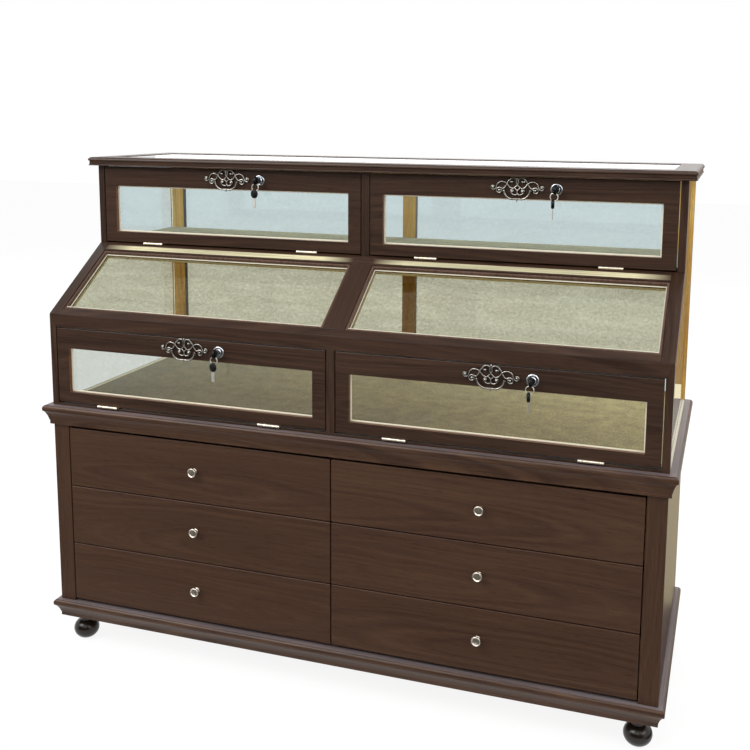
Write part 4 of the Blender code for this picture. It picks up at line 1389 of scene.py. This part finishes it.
@dataclass(frozen=True)
class Glazing:
    """The panes and lined boards that stay as packed, and the sealant lines beside the display floor.

    Strips lie on the floor and slump in the middle. Fins stand at the foot of the side panes, each with a toe
    at its outer edge: inset and height.
    """

    strip: float = 6 * MM
    strip_height: float = 2.2 * MM
    slump: float = 0.8
    edge: float = 0.3 * MM
    fin: float = 4.5 * MM
    toe: Pair = (0.4 * MM, 1.2 * MM)

    def build(self) -> None:
        """Dresses the panes and boards, and adds the sealant lines."""
        panes = {"slope_glass": DUSTY_GLASS, "door_glass_lower": CLEAR_GLASS}
        for name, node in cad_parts.items():
            if "glass" in name:
                self.dress(node, panes.get(name.rsplit("_", 1)[0], GLASS))
        self.dress(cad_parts["display_floor"], PAINTED_LIGHT_LINING)
        self.dress(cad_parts["upper_shelf"], LINING)
        low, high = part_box("display_floor")
        foot = LAYOUT.floor
        outer = LAYOUT.half_width
        inset, rise = self.toe
        for side in Side:
            wall = side.value * high.x
            lip = wall - side.value * self.strip
            outline = [(wall, high.z + SEAT), (wall, high.z + self.strip_height),
                       ((wall + lip) / 2, high.z + self.strip_height * self.slump), (lip, high.z + SEAT)]
            line = Shape().along_y(outline, (low.y, high.y))
            add_piece(f"floor_sealant_{side.word}", line, SEALANT_AND_PAINTED_LIGHT, grain=Grain.DEEP, edge=self.edge)
            glass_low, glass_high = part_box(f"side_glass_{side.word}")
            pane = max(abs(glass_low.x), abs(glass_high.x)) + SEAT
            outline = [(pane, foot), (outer, foot), (outer - inset, foot + rise), (pane, foot + self.fin)]
            ends = (LAYOUT.front + LAYOUT.depth + SEAT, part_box("back_frame")[0].y - SEAT)
            line = Shape().along_y([(side.value * x, z) for x, z in outline], ends)
            add_piece(f"side_sealant_{side.word}", line, SEALANT_AND_PAINTED_LIGHT, grain=Grain.DEEP)

    def dress(self, node: Object, finish: Finish) -> None:
        """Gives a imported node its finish.

        Args:
            node: The node's object.
            finish: Its finish.
        """
        node.data.materials.clear()
        node.data.materials.append(finish.material())
        LOG.info("%s dressed as %s", node.name, finish.name)


@dataclass(frozen=True)
class Door:
    """A glazed drop-down door with its hinges, scroll handle and cam lock.

    The pane lies in a rebate behind a lip of wood. The sealant's section is in millimetres, inward from the
    sight edge and out from a line a little behind the pane's face.
    """

    tier: Tier
    side: Side
    stile: float = 26 * MM
    top_rail: float = 40 * MM
    bottom_rail: float = 21.5 * MM
    lip: float = 10 * MM
    rebate: float = 6 * MM
    edge: float = 0.9 * MM
    sealant: tuple[Pair, ...] = ((0.1, 0.1), (0.1, 2.2), (1.4, 1.6), (2.4, 0.6), (2.5, 0.1))
    sealant_back: float = 0.2 * MM

    @property
    def tag(self) -> str:
        """Tier and side as they stand in the frame's names."""
        return f"{self.tier.value}_{self.side.word}"

    def build(self) -> None:
        """Builds the frame, the sealant line and the fittings."""
        node = f"door_{self.tag}"
        low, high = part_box(node)
        left, right = low.x + self.stile, high.x - self.stile
        foot, head = low.z + self.bottom_rail, high.z - self.top_rail
        sight = (left, right, foot, head)
        pocket = (left - self.rebate, right + self.rebate, foot - self.rebate, head + self.rebate)
        outer = (low.x, high.x, low.z, high.z)
        shoulder = low.y + self.lip
        loops = [rectangle(*outer, low.y), rectangle(*sight, low.y), rectangle(*sight, shoulder),
                 rectangle(*pocket, shoulder), rectangle(*pocket, high.y), rectangle(*outer, high.y)]
        sight_band = 1
        frame_shape = Shape().loft(loops, closed=True, slots={sight_band: 1})
        add_piece(f"{node}_frame", frame_shape, [WALNUT, REVEAL], node, edge=self.edge, stands_for=[node])
        # The cream sealant line round the pane is in part a painted highlight along the reveal's edge.
        loops = []
        for inset, out in in_mm(self.sealant):
            line = (left + inset, right - inset, foot + inset, head - inset)
            loops.append(rectangle(*line, shoulder - out + self.sealant_back))
        add_piece(f"{node}_sealant", Shape().loft(loops, closed=True), SEALANT_AND_PAINTED_LIGHT, node)
        for end in ("inner", "outer"):
            Hinge(self.tag, end).build()
        ScrollHandle(self.tag).build()
        CamLock(self.tag).build()


@dataclass(frozen=True)
class Hinge:
    """A drawn brass butt hinge: five knuckles on a pin, one leaf on the cabinet and one on the door.

    The pin's ends have an outline in millimetres, radius and reach, and start sunk in the knuckles.
    """

    tag: str
    end: str
    knuckles: int = 5
    radius: float = 2.5 * MM
    slack: float = 0.25 * MM
    soft: float = 0.5 * MM
    leaf: float = 1.0 * MM
    leaf_gap: float = 0.1 * MM
    leaf_start: float = 0.8
    pin: tuple[Pair, ...] = ((1.4, -1.0), (1.4, 0.2), (0.9, 0.6), (0.3, 0.7))
    pin_sink: float = 0.2 * MM

    def build(self) -> None:
        """Builds the half on the cabinet and the half on the door."""
        node = f"hinge_{self.tag}_{self.end}"
        door = f"door_{self.tag}"
        low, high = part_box(node)
        axis_y = low.y + self.radius
        axis_z = (low.z + high.z) / 2
        pitch = (high.x - low.x) / self.knuckles
        length = pitch - self.slack
        profile = [(self.radius - self.soft, 0.0), (self.radius, self.soft),
                   (self.radius, length - self.soft), (self.radius - self.soft, length)]
        fixed, moving = Shape(), Shape()
        for index in range(self.knuckles):
            base = (low.x + index * pitch + self.slack / 2, axis_y, axis_z)
            (fixed, moving)[index % 2].turned(profile, base, (1, 0, 0), 24)
        inside = axis_y + self.radius * self.leaf_start
        fixed.block((low.x, inside, axis_z - self.leaf - self.leaf_gap),
                    (high.x, high.y, axis_z - self.leaf_gap))
        moving.block((low.x, inside, axis_z + self.leaf_gap),
                     (high.x, high.y, axis_z + self.leaf + self.leaf_gap))
        for sign, x in ((-1, low.x), (1, high.x)):
            fixed.turned(in_mm(self.pin), (x - sign * self.pin_sink, axis_y, axis_z), (sign, 0, 0), 16)
        add_piece(f"{node}_fixed_half", fixed, BRASS, stands_for=[node])
        add_piece(f"{node}_door_half", moving, BRASS, door)


@dataclass(frozen=True)
class ScrollHandle:
    """A cast openwork handle: scrolls round a diamond, two lugs and a hanging bail.

    Strands and eyes are (x, z) points in millimetres from the diamond's middle, for the right half. The left
    half mirrors them. Lug, bud and drop are turned outlines in millimetres, radius and reach. The lug's reach
    starts at the bail's axis.
    """

    tag: str
    crown: float = 19 * MM
    strap: float = 1.5 * MM
    eye: float = 2.9 * MM
    eye_lift: float = 0.3 * MM
    sink: float = 1.6 * MM
    lug_reach: float = 26.3 * MM
    lug_drop: float = 1.8 * MM
    lug: tuple[Pair, ...] = ((1.7, 0.0), (2.3, 0.6), (1.6, 2.2))
    bud_height: float = 15.2 * MM
    bud: tuple[Pair, ...] = ((0.8, 0.0), (1.7, 2.0), (1.3, 3.8), (0.3, 6.0))
    drop: tuple[Pair, ...] = ((0.9, 0.0), (1.4, 1.2), (1.0, 2.4), (0.2, 3.4))
    grip: float = 10.5 * MM
    strands: tuple[tuple[Pair, ...], ...] = (
        ((9.6, 10.2), (12.8, 10.2), (14.2, 13.4), (12.0, 17.2), (7.4, 18.6), (3.2, 17.2), (1.7, 13.2),
         (1.9, 8.8), (0.0, 5.4), (-5.4, 0.0), (-8.6, -1.3), (-14.2, 1.0), (-19.8, 7.6), (-25.2, 10.4),
         (-31.4, 10.6), (-36.8, 6.8), (-39.4, 0.2), (-42.4, -3.4), (-46.4, -3.6), (-48.8, -0.2), (-47.0, 3.2),
         (-43.8, 2.6)),
        ((8.4, 18.4), (13.6, 15.6), (17.4, 11.0), (20.4, 5.2), (23.4, 0.4), (26.8, -1.8), (30.6, -0.6),
         (34.4, 0.0), (38.2, -3.0), (38.0, -7.6), (34.0, -9.6), (30.0, -7.8), (29.8, -4.6), (32.4, -3.4)),
        ((0.0, -5.4), (0.0, -9.6), (1.6, -12.4), (5.0, -13.0), (9.0, -11.6), (12.4, -8.0), (12.0, -4.6),
         (8.8, -4.4), (7.8, -6.8)),
        ((-5.4, 0.0), (-2.7, -2.7), (0.0, -5.4)),
    )
    eyes: tuple[Pair, ...] = ((9.8, 10.6), (33.4, -4.8), (45.2, 0.4), (9.8, -6.8))

    def build(self) -> None:
        """Builds the fixed scrollwork and the bail."""
        node = f"handle_plate_{self.tag}"
        low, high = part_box(node)
        bail_low, bail_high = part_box(f"handle_bail_{self.tag}")
        middle = (low.x + high.x) / 2
        centre_z = high.z - self.crown
        plane = high.y - self.sink
        reach = plane - (bail_low.y + bail_high.y) / 2
        lug = [(self.lug[0][0] * MM, 0.0)] + [(radius, reach + out) for radius, out in in_mm(self.lug)]
        lug_z = bail_high.z - self.lug_drop
        shape = Shape()
        for sign in (-1, 1):
            for strand in self.strands:
                points = [Vector((middle + sign * x, plane, centre_z + z)) for x, z in in_mm(strand)]
                shape.tube(curve_through(points), self.strap)
            for x, z in in_mm(self.eyes):
                shape.ball((middle + sign * x, plane - self.eye_lift, centre_z + z), self.eye)
            shape.turned(lug, (middle + sign * self.lug_reach, plane, lug_z), (0, -1, 0), 20)
        shape.turned(in_mm(self.bud), (middle, plane, centre_z + self.bud_height), (0, 0, 1), 16)
        add_piece(f"{node}_scrolls", shape, PEWTER, f"door_{self.tag}", stands_for=[node])
        self.bail(middle, bail_low, bail_high)

    def bail(self, middle: float, low: Vector, high: Vector) -> None:
        """Builds the hanging bail: curved arms, a thick grip with a centre bead and a drop.

        Args:
            middle: The handle's middle x.
            low: Lowest corner of the bail's node.
            high: Highest corner of the bail's node.
        """
        axis = (low.y + high.y) / 2
        thick = (high.y - low.y) / 2
        pivot_z = high.z - thick
        hang = pivot_z - low.z - thick
        span = (high.x - low.x) / 2
        grip = self.grip
        arm = [(span, 0.0), (span - 0.8 * MM, -0.27), (span - 3.2 * MM, -0.56), (span - 7.8 * MM, -0.83),
               (grip + MM, -0.98), (grip * 0.5, -1.0)]
        points = [Vector((middle + x, axis, pivot_z + hang * share)) for x, share in arm]
        points += [Vector((2 * middle - point.x, axis, point.z)) for point in reversed(points)]
        shape = Shape().tube(curve_through(points), thick)
        swell = ((0.6, 0.0), (1.15, 0.04), (1.15, 0.09), (0.92, 0.12), (0.98, 0.42), (1.3, 0.45))
        bar = [(thick * radius, 2 * grip * share) for radius, share in swell]
        bar += [(radius, 2 * grip - reach) for radius, reach in reversed(bar)]
        shape.turned(bar, (middle - grip, axis, pivot_z - hang), (1, 0, 0), 20)
        shape.turned(in_mm(self.drop), (middle, axis, pivot_z - hang - thick), (0, 0, -1), 14)
        add_piece(f"handle_bail_{self.tag}_casting", shape, PEWTER, f"bail_{self.tag}",
                  stands_for=[f"handle_bail_{self.tag}"])


@dataclass(frozen=True)
class CamLock:
    """A chrome cam lock with a black-headed key in it, a split ring and a spare key hanging from that.

    The nut's outline is in millimetres, radius and reach. Cam and blades give half sizes, thinnest first, but
    the cam's thickness and the spare blade's length are whole. Each spare key has its own swing in degrees.
    """

    tag: str
    rim: float = 11.5 * MM
    plug: float = 6.2 * MM
    proud: float = 4 * MM
    nut: tuple[Pair, ...] = ((8.5, 0.05), (8.5, 0.6), (6.2, 0.7))
    cam: Pair = (2 * MM, 5 * MM)
    blade: Pair = (1.1 * MM, 4 * MM)
    overlap: float = 1 * MM
    shank: float = 5 * MM
    bow_height: float = 17.5 * MM
    bow_depth: float = 16 * MM
    bow_width: float = 6 * MM
    hole: float = 3 * MM
    ring: float = 7 * MM
    wire: float = 0.75 * MM
    ring_shift: float = 1.5 * MM
    spare_shift: float = 3.5 * MM
    spare_back: float = 0.1 * MM
    spare_blade: Point = (1.0 * MM, 3.5 * MM, 19 * MM)
    edge: float = 0.4 * MM
    swing: dict[str, int] = field(default_factory=lambda: {"lower_left": 68, "lower_right": 16,
                                                           "upper_left": 74, "upper_right": 12})

    def build(self) -> None:
        """Builds the fixed rim and all that turns with the core."""
        node = f"lock_plug_{self.tag}"
        body = f"lock_{self.tag}"
        door_low, door_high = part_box(f"door_{self.tag}")
        low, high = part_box(node)
        axis_x = low.x + self.plug
        axis_z = (low.z + high.z) / 2
        face = door_low.y
        seat = (axis_x, face, axis_z)
        out = (0, -1, 0)
        collar = [(self.rim - 0.4 * MM, 0.1 * MM), (self.rim, 0.5 * MM), (self.rim, 1.3 * MM),
                  (self.rim - 1.0 * MM, 2.6 * MM), (self.rim - 2.8 * MM, 3.2 * MM),
                  (self.plug + 0.9 * MM, 2.7 * MM), (self.plug + 0.5 * MM, 1.6 * MM)]
        add_piece(f"{node}_rim", Shape().turned(collar, seat, out), CHROME, f"door_{self.tag}")
        bevel = 0.7 * MM
        core = [(self.plug, 1.8 * MM), (self.plug, self.proud - bevel), (self.plug - bevel, self.proud)]
        shape = Shape().turned(core, seat, out)
        shape.turned(in_mm(self.nut), (axis_x, door_high.y, axis_z), (0, 1, 0), 6)
        thick, half = self.cam
        shape.block((axis_x - half, high.y - thick, axis_z - half), (high.x, high.y, axis_z + half))
        thick, half = self.blade
        tip = face - self.proud
        shape.block((axis_x - thick, tip - self.shank - self.overlap, axis_z - half),
                    (axis_x + thick, tip + self.overlap, axis_z + half))
        add_piece(f"{node}_core", shape, CHROME, body, stands_for=[node])
        bow_y = tip - self.shank - self.bow_depth / 2
        add_piece(f"{node}_key_head", self.bow(axis_x, bow_y, axis_z), KEY_BLACK, body)
        self.spare(node, body, Vector((axis_x, bow_y, axis_z)))

    def bow(self, x: float, y: float, z: float) -> Shape:
        """Returns a key's moulded head: an oval cushion, thinner at its rim.

        Args:
            x: Middle of its thickness.
            y: Middle of its depth.
            z: Middle of its height.

        Returns:
            The head's mesh.
        """
        sections = ((-0.5, 0.72), (-0.42, 0.9), (-0.2, 1.0), (0.2, 1.0), (0.42, 0.9), (0.5, 0.72))
        steps = 28
        turns = [math.tau * step / steps for step in range(steps)]
        loops = []
        for share, scale in sections:
            loops.append([(x + share * self.bow_width, y + scale * self.bow_depth / 2 * math.cos(t),
                           z + scale * self.bow_height / 2 * math.sin(t)) for t in turns])
        return Shape().loft(loops)

    def spare(self, node: str, body: str, head: Vector) -> None:
        """Hangs the split ring and the spare key from the key's head.

        Args:
            node: Stem of the pieces' names.
            body: The lock's body.
            head: Middle of the key's head.
        """
        hole = head.z - self.bow_height / 2 + self.hole
        centre = Vector((head.x - self.ring_shift, head.y, hole - self.ring))
        coils = 2
        lead = 2.2 * self.wire
        steps = 40 * coils
        coil = []
        for step in range(steps + 1):
            turn = QUARTER_TURN + coils * math.tau * step / steps
            offset = (step / steps - 0.5) * lead
            coil.append(centre + Vector((self.ring * math.cos(turn), offset, self.ring * math.sin(turn))))
        add_piece(f"{node}_split_ring", Shape().tube(coil, self.wire, 8), KEY_STEEL, body)
        spare_z = hole - 2 * self.ring - self.bow_height / 2 + self.hole
        turn = Matrix.Rotation(math.radians(self.swing[self.tag]), 4, "Z")
        hang = Matrix.Translation((head.x - self.spare_shift, head.y + self.spare_back, spare_z)) @ turn
        spare = self.bow(0.0, 0.0, 0.0)
        spare.bm.transform(hang)
        add_piece(f"{node}_spare_head", spare, KEY_BLACK, body)
        root = -self.bow_height / 2
        thick, half, length = self.spare_blade
        blade = Shape().block((-thick, -half, root - length), (thick, half, root + self.overlap))
        blade.bm.transform(hang)
        add_piece(f"{node}_spare_blade", blade, KEY_STEEL, body, edge=self.edge)


def seen(add: Wire) -> NodeSocket:
    """Wires the test for rays that show the background: from the camera, a mirror or glass.

    Args:
        add: Adds a node to the material or the world and returns its output.

    Returns:
        1 for such a ray, 0 for others.
    """
    rays = add("LightPath").node.outputs
    shown = rays["Is Camera Ray"]
    for name in ("Is Glossy Ray", "Is Transmission Ray"):
        shown = add("Math", {0: shown, 1: rays[name]}, operation="MAXIMUM")
    return shown


@dataclass(frozen=True)
class StudioFloor(Finish):
    """Matt white studio floor: it shows nearly white but keeps the cabinet's shadow."""

    shade_of_white: str = "#e9e9e9"
    glow: float = 0.77
    strength: float = 1.15

    def shade(self, add: Wire, shader: Node) -> None:
        """Wires a matt floor that glows for the rays that show it.

        Args:
            add: Adds a node to the material and returns its output.
            shader: The material's shader.
        """
        feed(shader, {"Base Color": linear(self.shade_of_white), "Roughness": 0.9, "Specular IOR Level": 0.1})
        light = add("Emission", {"Color": linear("#ffffff"), "Strength": self.strength})
        share = add("Math", {0: seen(add), 1: self.glow}, operation="MULTIPLY")
        mixed = add("MixShader", {0: share, 1: shader.outputs[0], 2: light})
        feed(shader.id_data.nodes["Material Output"], {"Surface": mixed})


@dataclass(frozen=True)
class StudioCard(Finish):
    """Matt card, or a lit one, that polished metal and glass mirror."""

    colour: str
    glow: float

    def shade(self, add: Wire, shader: Node) -> None:
        """Sets a matt colour and its own light.

        Args:
            add: Adds a node to the material and returns its output.
            shader: The material's shader.
        """
        feed(shader, {"Base Color": linear(self.colour), "Roughness": 0.9, "Specular IOR Level": 0.0,
                      "Emission Color": linear(self.colour), "Emission Strength": self.glow})


def add_sheet(name: str, finish: Finish, divisions: tuple[int, int], size: float) -> Object:
    """Adds a flat sheet that isn't part of the cabinet.

    Args:
        name: The sheet's name.
        finish: Its finish.
        divisions: Faces along x and y.
        size: Half its width.

    Returns:
        The sheet's object.
    """
    bm = bmesh.new()
    bmesh.ops.create_grid(bm, x_segments=divisions[0], y_segments=divisions[1], size=size)
    mesh = bpy.data.meshes.new(name)
    bm.to_mesh(mesh)
    bm.free()
    mesh.materials.append(finish.material())
    sheet = bpy.data.objects.new(name, mesh)
    bpy.context.scene.collection.objects.link(sheet)
    return sheet


@dataclass(frozen=True)
class Lamp:
    """A soft white lamp, aimed at the cabinet, that is itself seen only in mirrors.

    Args:
        name: Lamp's name.
        place: Where it hangs.
        size: Width and height of its face.
        power: Its power in watts.
        aim: Point that it is turned to.
    """

    name: str
    place: Point
    size: Pair
    power: float
    aim: Point = (0.0, 0.0, 0.5)

    def build(self) -> None:
        """Hangs the lamp."""
        light = bpy.data.lights.new(self.name, "AREA")
        light.shape = "RECTANGLE"
        light.size, light.size_y = self.size
        light.energy = self.power
        lamp = bpy.data.objects.new(self.name, light)
        beam = Vector(self.aim) - Vector(self.place)
        turn = beam.to_track_quat("-Z", "Y").to_matrix().to_4x4()
        lamp.matrix_world = Matrix.Translation(self.place) @ turn
        lamp.visible_camera = False
        lamp.visible_transmission = False
        bpy.context.scene.collection.objects.link(lamp)


@dataclass(frozen=True)
class Card:
    """A card that only mirrors see, as for photographing polished metal.

    Args:
        name: Last word of its name.
        place: Its middle.
        half: Half its width and height.
        colour: Its colour.
        glow: Strength of its own light.
        upright: Stands facing the front instead of lying level.
    """

    name: str
    place: Point
    half: Pair
    colour: str
    glow: float = 0.0
    upright: bool = False

    def build(self) -> None:
        """Sets the card up."""
        finish = StudioCard(f"matt_card_{self.name}", "", self.colour, self.glow)
        card = add_sheet(f"studio_card_{self.name}", finish, (6, 4), 1.0)
        turn = Matrix.Rotation(QUARTER_TURN if self.upright else 0.0, 4, "X")
        card.matrix_world = Matrix.Translation(self.place) @ turn @ Matrix.Diagonal((*self.half, 1.0, 1.0))
        card.visible_camera = False
        card.visible_diffuse = False
        card.visible_shadow = False
        card.visible_transmission = False


@dataclass(frozen=True)
class Studio:
    """The camera at the photographed angle, a pale floor, soft lamps and an even white surround.

    Args:
        eye: Camera's place.
        yaw: Turn of the view to the left of +Y, in radians.
        pitch: Tilt of the view above the level.
        roll: Lean of the picture.
        lens: Focal length in millimetres.
        sensor: Width of the film in millimetres.
        shift: Framing shift as shares of the picture's width.
        ambient: Strength of the surround's light.
        floor_reach: Half the floor's width.
        lamps: The lamps.
        cards: The cards.
    """

    eye: Point = (0.6783, -1.8883, 1.0835)
    yaw: float = 0.3236
    pitch: float = -0.1496
    roll: float = 0.0078
    lens: float = 48.82
    sensor: float = 36.0
    shift: Pair = (-0.0261, -0.1393)
    ambient: float = 0.45
    floor_reach: float = 12.0
    lamps: tuple[Lamp, ...] = (
        Lamp("key", (-2.2, -2.6, 3.2), (2.4, 2.4), 88.0),
        Lamp("fill", (2.8, -1.4, 2.4), (2.0, 2.0), 34.0),
        Lamp("top", (0.1, 1.7, 3.3), (1.8, 1.8), 55.0),
        Lamp("sky", (0.3, 4.5, 2.2), (8.0, 2.2), 32.0),
    )
    cards: tuple[Card, ...] = (
        Card("back", (0.0, -5.0, 1.6), (6.0, 1.8), "#565654", upright=True),
        Card("ground", (0.0, -2.7, 0.004), (5.0, 2.35), "#706e6a"),
        Card("overhead", (-0.4, 0.4, 3.1), (2.2, 1.2), "#62605d"),
        Card("softbox", (0.2, -4.2, 2.8), (1.8, 0.5), "#ffffff", 2.2, upright=True),
        Card("skylight", (-0.5, -1.3, 3.0), (2.6, 0.35), "#ffffff", 3.5),
        Card("slate", (0.87, 0.05, 0.005), (0.24, 0.3), "#4c505c"),
        Card("cream", (0.92, 1.35, 0.005), (0.3, 1.0), "#e8dcb4", 0.2),
        Card("warm", (0.92, 2.36, 0.6), (0.3, 0.6), "#a27c40", upright=True),
    )

    def build(self) -> None:
        """Sets camera, floor, surround, lamps and cards."""
        bpy.context.scene.view_settings.view_transform = "Standard"
        self.camera()
        add_sheet("studio_floor", StudioFloor("matt_white_studio_floor", ""), (8, 8), self.floor_reach)
        self.surround()
        for thing in self.lamps + self.cards:
            thing.build()

    def camera(self) -> None:
        """Adds the camera."""
        level = math.cos(self.pitch)
        forward = Vector((-math.sin(self.yaw) * level, math.cos(self.yaw) * level, math.sin(self.pitch)))
        right = Vector((math.cos(self.yaw), math.sin(self.yaw), 0.0))
        down = forward.cross(right)
        image_x = right * math.cos(self.roll) - down * math.sin(self.roll)
        image_y = right * math.sin(self.roll) + down * math.cos(self.roll)
        view = bpy.data.cameras.new("camera")
        view.lens = self.lens
        view.sensor_width = self.sensor
        view.shift_x, view.shift_y = self.shift
        camera = bpy.data.objects.new("camera", view)
        turn = Matrix((image_x, -image_y, -forward)).transposed().to_4x4()
        camera.matrix_world = Matrix.Translation(self.eye) @ turn
        bpy.context.scene.collection.objects.link(camera)
        bpy.context.scene.camera = camera

    def surround(self) -> None:
        """Lights the scene evenly and shows white where nothing stands."""
        world = bpy.data.worlds.new("white_surround")
        bpy.context.scene.world = world
        world.use_nodes = True
        tree = world.node_tree
        add = partial(add_node, tree)
        lit = add("MapRange", {"Value": seen(add), "To Min": self.ambient, "To Max": 1.0})
        feed(tree.nodes["Background"], {"Color": linear("#ffffff"), "Strength": lit})


def main() -> None:
    """Builds the cabinet's sub-assemblies in order, then the studio."""
    logging.basicConfig(level=logging.INFO, format="%(message)s")
    for end in ("front", "back"):
        for side in Side:
            Foot(f"foot_{end}_{side.word}").build()
    Moulding("plinth_base", "plinth", overhang=12 * MM, fillet=1 * MM).build()
    Moulding("chest_top", "waist", overhang=16 * MM, fillet=5.5 * MM).build()
    Chest().build()
    for row in Row:
        for side in Side:
            Drawer(row, side).build()
    ShowcaseFront().build()
    ShowcaseBack().build()
    Cap("top_frame", "cap", overhang=15 * MM, width=34 * MM, finish=WALNUT).build()
    Glazing().build()
    for tier in Tier:
        for side in Side:
            Door(tier, side).build()
    Studio().build()


if __name__ == "__main__":
    main()
